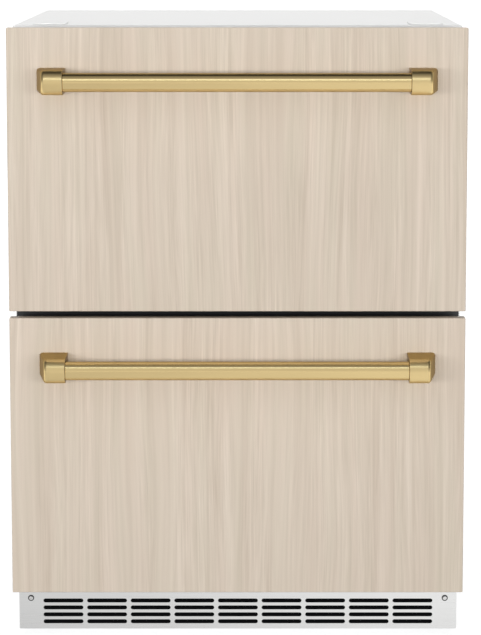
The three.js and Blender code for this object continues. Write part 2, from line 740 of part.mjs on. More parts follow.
// Bellows gasket: a narrow root held by the door, a waist, and a broad magnetic face.
function gasket(level) {
  const root = doorBack + SEAT;
  const face = -SEAT;
  const at = (across, ahead) => [GASKET_WIDTH * across, root + (face - root) * ahead];
  const profile = [
    at(0.15, 0), at(0.15, 0.18), at(0.23, 0.29), at(0.15, 0.42), at(0, 0.67), at(0, 0.9),
    at(0.05, 1), at(0.95, 1), at(1, 0.9), at(1, 0.67), at(0.85, 0.42), at(0.77, 0.29),
    at(0.85, 0.18), at(0.85, 0),
  ];
  const inset = GASKET_INSET + GASKET_WIDTH;
  const half = panelHalf - DOOR_SIDE_INSET - inset;
  const ring = mitredRing(profile, -half, half, DOOR_BOTTOM_INSET + inset,
    level.panelHeight - DOOR_TOP_INSET - inset);
  return piece(`${level.name}_gasket`, ring, 'gasket');
}

// Cast handle post: a D in side view whose outer side leans in towards the front.
function handlePost(level, name, side) {
  const root = panelFront - SEAT;
  const centre = panelFront - barAhead;
  const r = POST_HEIGHT / 2;
  const dShape = prism('x', 0, POST_BASE, outline([
    [root, r],
    ...arc(centre, 0, r, 90, 270, 12),
    [root, -r],
  ]));
  const plan = prism('z', -r - 1, r + 1, outline([
    [0, root + 1],
    [0, handleFront - 1],
    [POST_BASE - POST_TAPER, handleFront - 1],
    [POST_BASE - POST_TAPER, handleFront],
    [POST_BASE, root],
    [POST_BASE, root + 1],
  ]));
  const ends = prism('y', handleFront - 1, root + 1,
    rounded(-POST_BASE, POST_BASE, -r, r, POST_ROUNDING));
  const studs = [-STUD_Z, STUD_Z].map((lift) => prism('y', root - 1, root + STUD_LENGTH,
    disc(STUD_X, lift, STUD_RADIUS, 8)));
  const bore = prism('x', -1, SPIGOT_LENGTH + SEAT, disc(centre, 0, SPIGOT_RADIUS + SEAT, 20));
  let post = cut(join(common(dShape, plan, ends), ...studs), bore);
  if (side < 0) post = post.mirror([1, 0, 0]);
  return piece(`${level.name}_handle_post_${name}`, post, 'bronze',
    side * postInner, 0, level.panelHeight - level.handleDrop);
}

function handleBar(level) {
  const half = postInner - SEAT;
  const bar = turned([
    [0, -half - SPIGOT_LENGTH],
    [SPIGOT_RADIUS, -half - SPIGOT_LENGTH],
    [SPIGOT_RADIUS, -half],
    [BAR_RADIUS, -half],
    [BAR_RADIUS, half],
    [SPIGOT_RADIUS, half],
    [SPIGOT_RADIUS, half + SPIGOT_LENGTH],
    [0, half + SPIGOT_LENGTH],
  ], 32).rotateY(Math.PI / 2);
  return piece(`${level.name}_handle_bar`, bar, 'bronze',
    0, panelFront - barAhead, level.panelHeight - level.handleDrop);
}

function tub(level) {
  const low = level.floor + TUB_FLOOR_CLEARANCE - level.panelBottom;
  const high = level.rimTop - level.panelBottom;
  const front = tubFront + TUB_RIM_WIDTH;
  const back = level.tubBack - TUB_RIM_WIDTH;
  const body = prism('z', low, high, rounded(-tubHalf, tubHalf, front, back, TUB_CORNER));
  const rim = prism('z', high - TUB_RIM, high, rounded(-tubHalf - TUB_RIM_WIDTH,
    tubHalf + TUB_RIM_WIDTH, tubFront, level.tubBack, TUB_CORNER + TUB_RIM_WIDTH));
  const inside = prism('z', low + TUB_WALL, high + 1, rounded(-tubHalf + TUB_WALL,
    tubHalf - TUB_WALL, front + TUB_WALL, back - TUB_WALL, TUB_CORNER - TUB_WALL));
  return piece(`${level.name}_tub`, cut(join(body, rim), inside), 'stainless');
}

// ---------------------------------------------------------------------------
// Slides: sections as (u, v), u inward from the compartment's wall, v up from the centre line
// ---------------------------------------------------------------------------

const fixedHalf = SLIDE_HEIGHT / 2;
const middleHalf = fixedHalf - SLIDE_SHEET - RACE;
const innerHalf = middleHalf - SLIDE_SHEET - RACE;
const middleWeb = SEAT + SLIDE_SHEET + RUN;
const flangeEnd = SLIDE_THICKNESS - SLIDE_SHEET - RUN;
const raceCentre = (middleWeb + SLIDE_SHEET + flangeEnd) / 2;

function channelSection(web, end, half) {
  const inner = web < end ? web + SLIDE_SHEET : web - SLIDE_SHEET;
  return [
    [web, -half], [end, -half], [end, -half + SLIDE_SHEET], [inner, -half + SLIDE_SHEET],
    [inner, half - SLIDE_SHEET], [end, half - SLIDE_SHEET], [end, half], [web, half],
  ];
}

// The middle member's flanges swell into ball races on both faces.
function middleSection() {
  const bead = RACE - SEAT;
  const inside = middleHalf - SLIDE_SHEET;
  return [
    [middleWeb, -middleHalf],
    ...arc(raceCentre, -middleHalf, bead, 180, 360, 6),
    [flangeEnd, -middleHalf],
    [flangeEnd, -inside],
    ...arc(raceCentre, -inside, bead, 0, 180, 6),
    [middleWeb + SLIDE_SHEET, -inside],
    [middleWeb + SLIDE_SHEET, inside],
    ...arc(raceCentre, inside, bead, 180, 360, 6),
    [flangeEnd, inside],
    [flangeEnd, middleHalf],
    ...arc(raceCentre, middleHalf, bead, 0, 180, 6),
    [middleWeb, middleHalf],
  ];
}

const SLIDE_MEMBERS = {
  fixed: { section: channelSection(SEAT, flangeEnd, fixedHalf), shorter: 0 },
  middle: { section: middleSection(), shorter: MIDDLE_SHORTER },
  inner: {
    section: channelSection(SLIDE_THICKNESS, middleWeb + SLIDE_SHEET + 1, innerHalf),
    shorter: 0,
  },
};

function rail(level, sideName, side, member) {
  const { section, shorter } = SLIDE_MEMBERS[member];
  const shape = outline(section.map(([u, v]) => [side * (insideHalf - u), v]));
  const body = prism('y', RAIL_START, RAIL_START + level.railLength - shorter, shape);
  return piece(`${level.name}_${member}_rail_${sideName}`, body, 'galvanised',
    0, 0, level.railHeight);
}

// ---------------------------------------------------------------------------
// Fans and coils, built along their own +Z or in their own corner
// ---------------------------------------------------------------------------

// A cambered, twisted blade between two radii, as a loft of thin sections.
function blade(rootRadius, tipRadius, depth) {
  const rings = [];
  for (let i = 0; i <= BLADE_RADIAL_STEPS; i += 1) {
    const share = i / BLADE_RADIAL_STEPS;
    const radius = rootRadius + (tipRadius - rootRadius) * share;
    const sweep = THREE.MathUtils.degToRad(34 + 14 * share);
    const rise = depth * (0.9 - 0.25 * share);
    const ring = [];
    for (const face of [1, -1]) {
      for (let j = 0; j <= BLADE_CHORD_STEPS; j += 1) {
        const along = (face > 0 ? j : BLADE_CHORD_STEPS - j) / BLADE_CHORD_STEPS;
        const angle = sweep * (along - 0.5) + 0.25 * share;
        const camber = depth * 0.12 * Math.sin(Math.PI * along);
        const height = rise * (along - 0.5) + camber + face * BLADE_THICKNESS / 2;
        ring.push([radius * Math.cos(angle), radius * Math.sin(angle), height]);
      }
    }
    rings.push(ring);
  }
  const count = rings[0].length;
  const index = [];
  for (let i = 0; i < rings.length - 1; i += 1) {
    for (let j = 0; j < count; j += 1) {
      const a = i * count + j;
      const b = i * count + (j + 1) % count;
      index.push(a, b + count, b, a, a + count, b + count);
    }
  }
  for (let j = 0; j < BLADE_CHORD_STEPS; j += 1) {
    const across = count - 1 - j;
    const tip = (rings.length - 1) * count;
    index.push(j, j + 1, across, j + 1, across - 1, across);
    index.push(tip + j, tip + across, tip + j + 1, tip + j + 1, tip + across, tip + across - 1);
  }
  const geometry = new THREE.BufferGeometry();
  geometry.setAttribute('position', new THREE.Float32BufferAttribute(rings.flat(2), 3));
  geometry.setIndex(index);
  return geometry;
}

// Fan centred on z = 0, with a blind bore for the shaft from below.
function fanWheel(name, tipRadius) {
  const hubRadius = tipRadius * FAN_HUB_SHARE;
  const half = FAN_HUB_LENGTH / 2;
  const hub = turned([
    [0, -half],
    [hubRadius, -half],
    [hubRadius, half - FAN_HUB_CHAMFER],
    [hubRadius - FAN_HUB_CHAMFER, half],
    [0, half],
  ], 24);
  const blades = [];
  for (let i = 0; i < FAN_BLADES; i += 1) {
    const turn = i * 2 * Math.PI / FAN_BLADES;
    const fin = blade(hubRadius - BLADE_ROOT, tipRadius, FAN_HUB_LENGTH * BLADE_PITCH);
    blades.push(fin.rotateZ(turn));
  }
  const bore = prism('z', -half - 1, half - FAN_BORE_END, disc(0, 0, FAN_BORE, 12));
  return piece(name, cut(join(hub, ...blades), bore), 'black');
}

// Motor with its mounting face on z = 0 and its shaft reaching up into the fan's bore.
function fanMotor(name, radius, length, gapToFan) {
  const shaft = FAN_BORE - SEAT;
  const shaftTop = length + gapToFan + FAN_HUB_LENGTH - FAN_BORE_END - SEAT;
  const body = turned([
    [0, 0],
    [radius, 0],
    [radius, length - MOTOR_CHAMFER],
    [radius * 0.8, length],
    [shaft, length],
    [shaft, shaftTop],
    [0, shaftTop],
  ], 20);
  return piece(name, body, 'enamel');
}

// Round tube along a path of (x, y, z) points, with flat ends.
function tubeAlong(curve, radius, sides, steps) {
  return new THREE.ExtrudeGeometry(disc(0, 0, radius, sides),
    { steps, bevelEnabled: false, extrudePath: curve });
}

function passRise(height, passes) {
  return (height - COIL_LIFT) / passes;
}

// Half-round return bend that leaves an end plate at x and comes back a pitch higher.
function returnBend(x, y, z, pitch, direction) {
  const points = arc(0, 0, pitch / 2, -90, 90, 6).map(([out, up]) => (
    new THREE.Vector3(x + direction * (out + BEND_START), y, z + pitch / 2 + up)));
  points.unshift(new THREE.Vector3(x - direction, y, z));
  points.push(new THREE.Vector3(x - direction, y, z + pitch));
  return tubeAlong(new THREE.CatmullRomCurve3(points), TUBE_RADIUS, 6, TUBE_STEPS);
}

// Finned coil in the corner x, y, z >= 0: end plates that stand on z = 0, fins on a web
// and hairpin bends. Air runs along Y.
function finnedCoil(name, length, depth, height, fins, passes) {
  const nearWeb = (depth - FIN_WEB) / 2;
  const farWeb = (depth + FIN_WEB) / 2;
  const pitch = (length - END_PLATE) / (fins + 1);
  const front = [[END_PLATE / 2, nearWeb]];
  const rear = [[END_PLATE / 2, farWeb]];
  for (let i = 1; i <= fins; i += 1) {
    const left = END_PLATE / 2 + i * pitch - FIN / 2;
    const right = left + FIN;
    front.push([left, nearWeb], [left, 0], [right, 0], [right, nearWeb]);
    rear.push([left, farWeb], [left, depth], [right, depth], [right, farWeb]);
  }
  front.push([length - END_PLATE / 2, nearWeb]);
  rear.push([length - END_PLATE / 2, farWeb]);
  const pack = prism('z', COIL_LIFT, height, outline([...front, ...rear.reverse()]));
  const plates = [
    block(0, END_PLATE, 0, depth, 0, height),
    block(length - END_PLATE, length, 0, depth, 0, height),
  ];
  const rise = passRise(height, passes);
  const bends = [];
  for (let i = 0; i < passes - 1; i += 1) {
    const onRight = i % 2 === 0;
    bends.push(returnBend(onRight ? length : 0, depth / 2, COIL_LIFT + rise * (i + 0.5), rise,
      onRight ? 1 : -1));
  }
  return piece(name, join(pack, ...plates, ...bends), 'aluminium');
}

// ---------------------------------------------------------------------------
// Cold side, lights and control
// ---------------------------------------------------------------------------

const coldFanHeight = UPPER.roof - COLD_FAN_DROP;

function evaporatorCover() {
  const half = insideHalf - SEAT;
  const face = rounded(-half, half, UPPER.floor + SEAT, UPPER.roof - SEAT, LINER_CORNER - SEAT);
  const [slotWidth, slotHeight] = INTAKE_SLOT;
  const intakeLow = UPPER.floor + INTAKE_LIFT;
  for (let i = 0; i < INTAKE_SLOTS; i += 1) {
    const x = (i - (INTAKE_SLOTS - 1) / 2) * INTAKE_PITCH;
    face.holes.push(rounded(x - slotWidth / 2, x + slotWidth / 2, intakeLow,
      intakeLow + slotHeight, slotWidth / 2, 2));
  }
  const reach = COLD_FAN_RADIUS + OUTLET_MARGIN;
  for (let i = 0; i < OUTLET_BARS; i += 1) {
    const offset = (i - (OUTLET_BARS - 1) / 2) * OUTLET_PITCH;
    const halfLength = Math.sqrt(reach * reach - offset * offset);
    face.holes.push(slotOutline(0, coldFanHeight + offset, 2 * halfLength, OUTLET_SLOT, 3));
  }
  return piece('evaporator_cover',
    prism('y', evaporatorCoverFront, evaporatorCoverBack, face), 'liner');
}

function coldSide() {
  const coil = finnedCoil('evaporator_coil', COIL_LENGTH, COIL_DEPTH, COIL_HEIGHT, COIL_FINS,
    COIL_PASSES);
  coil.position.set(-COIL_LENGTH / 2, compartmentDepth - SEAT - COIL_DEPTH, UPPER.floor + SEAT);
  const [radius, length] = COLD_MOTOR;
  const motor = fanMotor('evaporator_fan_motor', radius, length, FAN_GAP);
  const wheel = fanWheel('evaporator_fan', COLD_FAN_RADIUS);
  wheel.position.z = length + FAN_GAP + FAN_HUB_LENGTH / 2;
  const fan = group(motor, wheel);
  fan.rotation.x = Math.PI / 2;
  fan.position.set(0, compartmentDepth - SEAT, coldFanHeight);
  return group(evaporatorCover(), coil, fan);
}

function light(level) {
  const r = LIGHT_DROP;
  const lens = prism('x', -LIGHT_LENGTH / 2, LIGHT_LENGTH / 2, outline([
    [0, 0],
    [0, -r * 0.4],
    ...arc(r, -r * 0.4, r * 0.6, 180, 270, 4).slice(1),
    ...arc(LIGHT_WIDTH - r, -r * 0.4, r * 0.6, 270, 360, 4).slice(0, -1),
    [LIGHT_WIDTH, -r * 0.4],
    [LIGHT_WIDTH, 0],
  ]));
  return piece(`${level.name}_light`, lens, 'lens', 0, LIGHT_SETBACK, level.roof - SEAT);
}

// Touch control under the roof: a wedge whose blank face looks down and forward.
function controlPanel() {
  const wedge = prism('x', -CONTROL_LENGTH / 2, CONTROL_LENGTH / 2, outline([
    [0, 0],
    [0, -CONTROL_DROP * 0.35],
    [CONTROL_DEPTH * 0.12, -CONTROL_DROP * 0.55],
    [CONTROL_DEPTH * 0.85, -CONTROL_DROP],
    [CONTROL_DEPTH, -CONTROL_DROP * 0.75],
    [CONTROL_DEPTH, 0],
  ]));
  return piece('control_panel', wedge, 'black', 0, CONTROL_SETBACK, UPPER.roof - SEAT);
}

// ---------------------------------------------------------------------------
// Machine room
// ---------------------------------------------------------------------------

const machineCentre = (machineFront + STEEL + rearGrilleFront) / 2;
const machineFloor = trayTop + SEAT;
const machineRoof = machineTop - STEEL;
const shroudHeight = machineRoof - SHROUD_HEADROOM - machineFloor;
const warmFanHeight = shroudHeight * 0.52;
const condenserHeight = machineRoof - CONDENSER_HEADROOM - machineFloor;

function compressor() {
  const r = COMPRESSOR_RADIUS;
  const low = COMPRESSOR_LEGS;
  const high = low + COMPRESSOR_HEIGHT;
  const profile = COMPRESSOR_POT.map(([radius, height]) => (
    [r * radius, low + COMPRESSOR_HEIGHT * height]));
  const pot = turned([[0, low], ...profile, [0, high]], 20);
  const plateHalf = r * COMPRESSOR_PLATE_SHARE;
  const plate = prism('z', low - COMPRESSOR_PLATE / 2, low + COMPRESSOR_PLATE / 2,
    rounded(-r, r, -plateHalf, plateHalf, COMPRESSOR_PLATE_CORNER, 2));
  const legs = [];
  for (const x of [-1, 1]) {
    for (const y of [-1, 1]) {
      const leg = disc(x * (r - COMPRESSOR_LEG_INSET), y * (plateHalf - COMPRESSOR_LEG_INSET),
        COMPRESSOR_LEG_RADIUS, 8);
      legs.push(prism('z', 0, low, leg));
    }
  }
  const [width, height, reach] = TERMINAL_BOX;
  const middle = low + COMPRESSOR_HEIGHT / 2;
  const terminals = prism('y', -r - reach, -r * 0.8,
    rounded(-width / 2, width / 2, middle, middle + height, 5, 2));
  const stub = prism('x', r * 0.8, r + STUB_REACH,
    disc(0, high - STUB_DROP, PIPE_RADIUS + 1, 12));
  return piece('compressor', join(pot, plate, ...legs, terminals, stub), 'enamel',
    compressorX, machineCentre, machineFloor);
}

function drainTray() {
  const [width, depth, height] = DRAIN_TRAY;
  const wall = DRAIN_TRAY_WALL;
  const outside = rounded(-width / 2, width / 2, -depth / 2, depth / 2, DRAIN_TRAY_CORNER);
  const inside = rounded(-width / 2 + wall, width / 2 - wall, -depth / 2 + wall,
    depth / 2 - wall, DRAIN_TRAY_CORNER - wall);
  const tray = cut(prism('z', 0, height, outside), prism('z', wall, height + 1, inside));
  return piece('drain_tray', tray, 'black', compressorX, machineCentre,
    machineFloor + COMPRESSOR_LEGS + COMPRESSOR_HEIGHT + SEAT);
}

// Stamped plate with a ring round the fan and three arms that carry the motor.
function shroud() {
  const hole = WARM_FAN_RADIUS + WARM_FAN_CLEARANCE;
  const [motorRadius, motorLength] = WARM_MOTOR;
  const plate = rounded(warmFanHeight - shroudHeight, warmFanHeight, -SHROUD_WIDTH / 2,
    SHROUD_WIDTH / 2, SHROUD_CORNER, 2);
  const [ringFrom, ringTo] = RING_DEGREES;
  const [hubFrom, hubTo] = HUB_DEGREES;
  for (let i = 0; i < SHROUD_ARMS; i += 1) {
    const from = i * 360 / SHROUD_ARMS;
    const outer = arc(0, 0, hole, from + ringFrom, from + ringTo, 8);
    const inner = arc(0, 0, motorRadius, from + hubTo, from + hubFrom, 4);
    plate.holes.push(outline([...outer, ...inner]));
  }
  const ringLength = TRAY_SHEET + SEAT + motorLength + FAN_GAP + FAN_HUB_LENGTH
    + SHROUD_BEYOND_FAN;
  const ring = disc(0, 0, hole + TRAY_SHEET, 30);
  ring.holes.push(disc(0, 0, hole, 30));
  const body = join(prism('z', 0, TRAY_SHEET, plate), prism('z', 0, ringLength, ring));
  return piece('fan_shroud', body, 'galvanised');
}

function warmFan() {
  const [radius, length] = WARM_MOTOR;
  const motor = fanMotor('condenser_fan_motor', radius, length, FAN_GAP);
  motor.position.z = TRAY_SHEET + SEAT;
  const wheel = fanWheel('condenser_fan', WARM_FAN_RADIUS);
  wheel.position.z = TRAY_SHEET + SEAT + length + FAN_GAP + FAN_HUB_LENGTH / 2;
  const fan = group(shroud(), motor, wheel);
  fan.rotation.y = Math.PI / 2;
  fan.position.set(WARM_FAN_X, machineCentre, machineFloor + warmFanHeight);
  return fan;
}

function condenser() {
  const bends = passRise(condenserHeight, CONDENSER_PASSES) / 2 + BEND_START + TUBE_RADIUS;
  const length = rearGrilleFront - machineFront - STEEL - 2 * (bends + CONDENSER_CLEARANCE);
  const coil = finnedCoil('condenser_coil', length, CONDENSER_DEPTH, condenserHeight,
    CONDENSER_FINS, CONDENSER_PASSES);
  coil.rotation.z = Math.PI / 2;
  coil.position.set(CONDENSER_X + CONDENSER_DEPTH, machineCentre - length / 2, machineFloor);
  return coil;
}

// Hot gas line from the compressor's stub, over the shroud, down to the condenser's top.
function dischargePipe() {
  const start = compressorX + COMPRESSOR_RADIUS + STUB_REACH + SEAT;
  const low = machineFloor + COMPRESSOR_LEGS + COMPRESSOR_HEIGHT - STUB_DROP;
  const crown = machineRoof - PIPE_HEADROOM;
  const end = machineFloor + condenserHeight + SEAT;
  const x = CONDENSER_X + CONDENSER_DEPTH / 2;
  const path = [
    [start, low],
    [start + PIPE_BEND * 0.5, low],
    [start + PIPE_BEND * 1.35, low + PIPE_BEND * 0.9],
    [start + PIPE_BEND * 1.5, crown - PIPE_BEND],
    [start + PIPE_BEND * 2.4, crown],
    [x - PIPE_BEND * 1.2, crown],
    [x - PIPE_BEND * 0.15, crown - PIPE_BEND * 0.55],
    [x, (crown + end) / 2],
    [x, end],
  ].map(([along, up]) => new THREE.Vector3(along, machineCentre, up));
  return piece('discharge_pipe',
    tubeAlong(new THREE.CatmullRomCurve3(path), PIPE_RADIUS, 8, 26), 'copper');
}

function rearGrille() {
  const high = machineTop - STEEL - SEAT;
  const face = rounded(-casingInside, casingInside, SKIRT_HEIGHT, high, 2, 1);
  const pitch = (CABINET_WIDTH - 2 * VENT_MARGIN + VENT_GAP) / VENT_COLUMNS;
  const lowRow = INLET_Z + VENT_LIFT;
  const rise = (high - VENT_MARGIN + VENT_HEIGHT - lowRow) / (VENT_ROWS - 1);
  for (let column = 0; column < VENT_COLUMNS; column += 1) {
    const x = (column - (VENT_COLUMNS - 1) / 2) * pitch;
    for (let row = 0; row < VENT_ROWS; row += 1) {
      face.holes.push(slotOutline(x, lowRow + row * rise, pitch - VENT_GAP, VENT_HEIGHT, 3));
    }
  }
  const [width, height] = INLET_BODY;
  face.holes.push(rounded(inletX - width / 2 - SEAT, inletX + width / 2 + SEAT,
    INLET_Z - height / 2 - SEAT, INLET_Z + height / 2 + SEAT, 2, 1));
  return piece('rear_grille', prism('y', rearGrilleFront, rearGrilleBack, face), 'galvanised');
}

// Appliance inlet with three flat pins, its mouth facing the rear.
function powerInlet() {
  const [width, height, depth] = INLET_BODY;
  const [flangeWidth, flangeHeight, flange] = INLET_FLANGE;
  const [socketWidth, socketHeight, socketDepth] = INLET_SOCKET;
  const mouth = SEAT + flange;
  const body = prism('y', mouth - depth, mouth, rounded(-width / 2, width / 2, -height / 2,
    height / 2, 2, 1));
  const collar = prism('y', SEAT, mouth, rounded(-flangeWidth / 2, flangeWidth / 2,
    -flangeHeight / 2, flangeHeight / 2, 3, 2));
  const socket = prism('y', mouth - socketDepth, mouth + 1, rounded(-socketWidth / 2,
    socketWidth / 2, -socketHeight / 2, socketHeight / 2, 3, 2));
  const [pinWidth, pinHeight, pinLength] = INLET_PIN;
  const pins = INLET_PINS.map(([x, z]) => block(x - pinWidth / 2,
    x + pinWidth / 2, mouth - socketDepth - 1, mouth - socketDepth + pinLength,
    z - pinHeight / 2, z + pinHeight / 2));
  return piece('power_inlet', join(cut(join(body, collar), socket), ...pins), 'black',
    inletX, rearGrilleBack, INLET_Z);
}

// ---------------------------------------------------------------------------
// Assembly
// ---------------------------------------------------------------------------

function cabinet() {
  const fixedRails = [UPPER, LOWER].flatMap((level) => (
    SIDES.map(([name, side]) => rail(level, name, side, 'fixed'))));
  return group(
    cabinetShell(), backPanel(), insulation(), liner(UPPER), liner(LOWER), mullionCover(),
    mullionStrip(), floorPan(), baseTray(), kickGrille(), rearGrille(), powerInlet(),
    ...SIDES.map(([name, side]) => kickScrew(name, side)),
    ...SIDES.map(([name, side]) => counterBracket(name, side)),
    ...fixedRails, coldSide(), light(UPPER), light(LOWER), controlPanel(),
  );
}

function machineRoom() {
  return group(compressor(), drainTray(), warmFan(), condenser(), dischargePipe());
}

function drawer(level) {
  const front = group(
    panel(level), door(level), gasket(level), handleBar(level), tub(level),
    ...SIDES.map(([name, side]) => handlePost(level, name, side)),
  );
  front.position.z = level.panelBottom;
  return group(
    front,
    ...SIDES.map(([name, side]) => rail(level, name, side, 'inner')),
    ...SIDES.map(([name, side]) => rail(level, name, side, 'middle')),
  );
}

const refrigerator = group(
  cabinet(),
  machineRoom(),
  drawer(UPPER),
  drawer(LOWER),
  ...FEET.map(([name, x, y]) => foot(name, x, y)),
);
refrigerator.position.y = -(handleFront + CABINET_DEPTH) / 2;

export default refrigerator;
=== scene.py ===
"""Finishes, fittings and studio of an undercounter drawer refrigerator, in metres, +Z up."""

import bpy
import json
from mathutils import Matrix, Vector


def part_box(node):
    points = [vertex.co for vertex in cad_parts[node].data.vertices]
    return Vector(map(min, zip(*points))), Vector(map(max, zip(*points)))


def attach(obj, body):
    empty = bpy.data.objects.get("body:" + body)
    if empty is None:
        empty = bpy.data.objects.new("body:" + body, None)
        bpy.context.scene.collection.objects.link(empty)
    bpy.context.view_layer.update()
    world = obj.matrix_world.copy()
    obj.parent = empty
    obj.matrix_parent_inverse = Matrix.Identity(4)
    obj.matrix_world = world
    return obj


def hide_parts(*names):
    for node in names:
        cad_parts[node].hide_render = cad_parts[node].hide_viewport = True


bl_info = {
    "name": "Drawer Refrigerator",
    "version": (1, 0, 0),
    "blender": (4, 5, 0),
    "location": "View3D > Sidebar > Refrigerator",
    "description": "Dresses a two-drawer undercounter refrigerator and sets up its studio",
    "category": "Object",
}

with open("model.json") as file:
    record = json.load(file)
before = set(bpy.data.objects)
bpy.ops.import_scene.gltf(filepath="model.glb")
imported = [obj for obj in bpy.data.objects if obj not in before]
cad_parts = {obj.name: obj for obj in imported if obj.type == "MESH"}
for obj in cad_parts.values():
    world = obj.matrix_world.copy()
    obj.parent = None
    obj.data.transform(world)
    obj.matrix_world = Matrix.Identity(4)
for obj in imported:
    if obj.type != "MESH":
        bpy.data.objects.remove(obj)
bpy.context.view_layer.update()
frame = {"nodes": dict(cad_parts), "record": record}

import json
import math

import bmesh
import bpy
from bpy.props import FloatProperty, FloatVectorProperty, IntProperty, PointerProperty
from bpy.types import Operator, Panel, PropertyGroup
from mathutils import Matrix, Vector

MM = 0.001
SEAT = 0.3 * MM  # gap between parts that rest on each other
WELD = 1e-6  # points closer together than this are one
SLIVER = 1e-5  # least radius of a rounded corner
SHARP = math.radians(50)  # edges that turn more than this are bevelled
SMOOTH = math.radians(35)  # edges that turn less than this are shaded smooth
LEVELS = ("upper", "lower")
SIDES = (("left", -1), ("right", 1))

SLOT_OF = {part["node"]: part["material_slot"] for part in frame["record"]["subparts"]}
KICK_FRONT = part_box("kick_grille")[0].y
TOP_OF_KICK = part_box("kick_grille")[1].z
INNER_END_OF_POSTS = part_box("upper_handle_post_right")[0].x
GAP_BETWEEN_FRONTS = (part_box("upper_panel")[0].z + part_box("lower_panel")[1].z) / 2


# Node trees


def both_ways(operation):
    """An operator of Wire that adds a Math node, and its reflected form."""
    return (
        lambda self, other: self.graph.math(operation, self, other),
        lambda self, other: self.graph.math(operation, other, self),
    )


class Wire:
    """One output of a node, with arithmetic that adds Math nodes."""

    def __init__(self, graph, socket):
        self.graph = graph
        self.socket = socket

    def swing(self, amount):
        """How far the value is from a half, times an amount."""
        return (self - 0.5) * amount

    __add__, __radd__ = both_ways("ADD")
    __sub__, __rsub__ = both_ways("SUBTRACT")
    __mul__, __rmul__ = both_ways("MULTIPLY")
    __truediv__, __rtruediv__ = both_ways("DIVIDE")


class Graph:
    """Adds nodes to one tree."""

    def __init__(self, tree):
        self.tree = tree

    def feed(self, socket, value):
        if isinstance(value, Wire):
            self.tree.links.new(value.socket, socket)
        elif isinstance(value, list):
            for wire in reversed(value):
                self.tree.links.new(wire.socket, socket)
        else:
            socket.default_value = value

    def node(self, kind, settings=None, sockets=None, out=0):
        node = self.tree.nodes.new(kind)
        for name, value in (settings or {}).items():
            if name == "stops":
                self.set_stops(node.color_ramp, value)
            else:
                setattr(node, name, value)
        for key, value in (sockets or {}).items():
            self.feed(node.inputs[key], value)
        return Wire(self, node.outputs[out]) if node.outputs else None

    @staticmethod
    def set_stops(ramp, stops):
        while len(ramp.elements) < len(stops):
            ramp.elements.new(1)
        for element, (position, level) in zip(ramp.elements, stops):
            element.position = position
            element.color = (level, level, level, 1)

    def math(self, operation, first, second=0.0):
        return self.node("ShaderNodeMath", {"operation": operation}, {0: first, 1: second})

    def ramp(self, value, stops):
        return self.node("ShaderNodeValToRGB", {"stops": stops}, {"Fac": value})

    def parts(self, vector):
        first = self.node("ShaderNodeSeparateXYZ", None, {"Vector": vector})
        return [Wire(self, output) for output in first.socket.node.outputs]

    def vector(self, x=0.0, y=0.0, z=0.0):
        return self.node("ShaderNodeCombineXYZ", None, {"X": x, "Y": y, "Z": z})

    def blend(self, share, first, second):
        """Mix of two colours."""
        sockets = {0: share, 6: first, 7: second}
        return self.node("ShaderNodeMix", {"data_type": "RGBA"}, sockets, out=2)

    def tones(self, share, colour, dark, light):
        """A property's colour between a darker and a lighter tone of it."""
        return self.blend(share, shade(colour, dark), shade(colour, light))

    def zigzag(self, value, run):
        """Rises from 0 to 1 over one run and falls back over the next."""
        return self.math("PINGPONG", value, run) / run


class Finish(Graph):
    """A material's tree, read from object coordinates."""

    def __init__(self, name):
        self.material = bpy.data.materials.new(name)
        self.material.use_nodes = True
        super().__init__(self.material.node_tree)
        self.tree.nodes.clear()
        self.place = self.node("ShaderNodeTexCoord", out="Object")

    def noise(self, vector, detail=2.0, roughness=0.5, scale=1.0):
        sockets = {"Vector": vector, "Scale": scale, "Detail": detail, "Roughness": roughness}
        return self.node("ShaderNodeTexNoise", None, sockets)

    def stretched(self, x, y, z, detail=2.0, roughness=0.5):
        """Noise with its own fineness along each axis, in cells a metre."""
        place = self.node("ShaderNodeMapping", None, {"Vector": self.place, "Scale": (x, y, z)})
        return self.noise(place, detail, roughness)

    def cells(self, scale, out):
        """Colour or distance of irregular cells, as many a metre as the scale says."""
        sockets = {"Vector": self.place, "Scale": scale}
        return self.node("ShaderNodeTexVoronoi", None, sockets, out)

    def bump(self, height, distance, strength):
        sockets = {"Height": height, "Distance": distance, "Strength": strength}
        return self.node("ShaderNodeBump", None, sockets)

    def surface(self, **sockets):
        named = {
            name.replace("_", " ").title().replace("Ior", "IOR"): value
            for name, value in sockets.items()
        }
        shader = self.node("ShaderNodeBsdfPrincipled", None, named)
        self.node("ShaderNodeOutputMaterial", None, {"Surface": shader})
        return self.material

    def glowing(self, grey, roughness, glow):
        """Matt surface of the studio that gives its own light."""
        return self.surface(
            base_color=(grey, grey, grey, 1),
            roughness=roughness,
            specular_ior_level=0.0,
            emission_color=glow,
            emission_strength=1.0,
        )


def tint(code):
    """Linear colour of a display colour written as 0xRRGGBB."""
    levels = [(code >> shift & 255) / 255 for shift in (16, 8, 0)]
    return tuple(v / 12.92 if v <= 0.04045 else ((v + 0.055) / 1.055) ** 2.4 for v in levels)


def shade(colour, factor=1.0):
    """A property's colour as a socket value, made lighter or darker."""
    return (*[min(1.0, level * factor) for level in colour], 1.0)


# Finishes


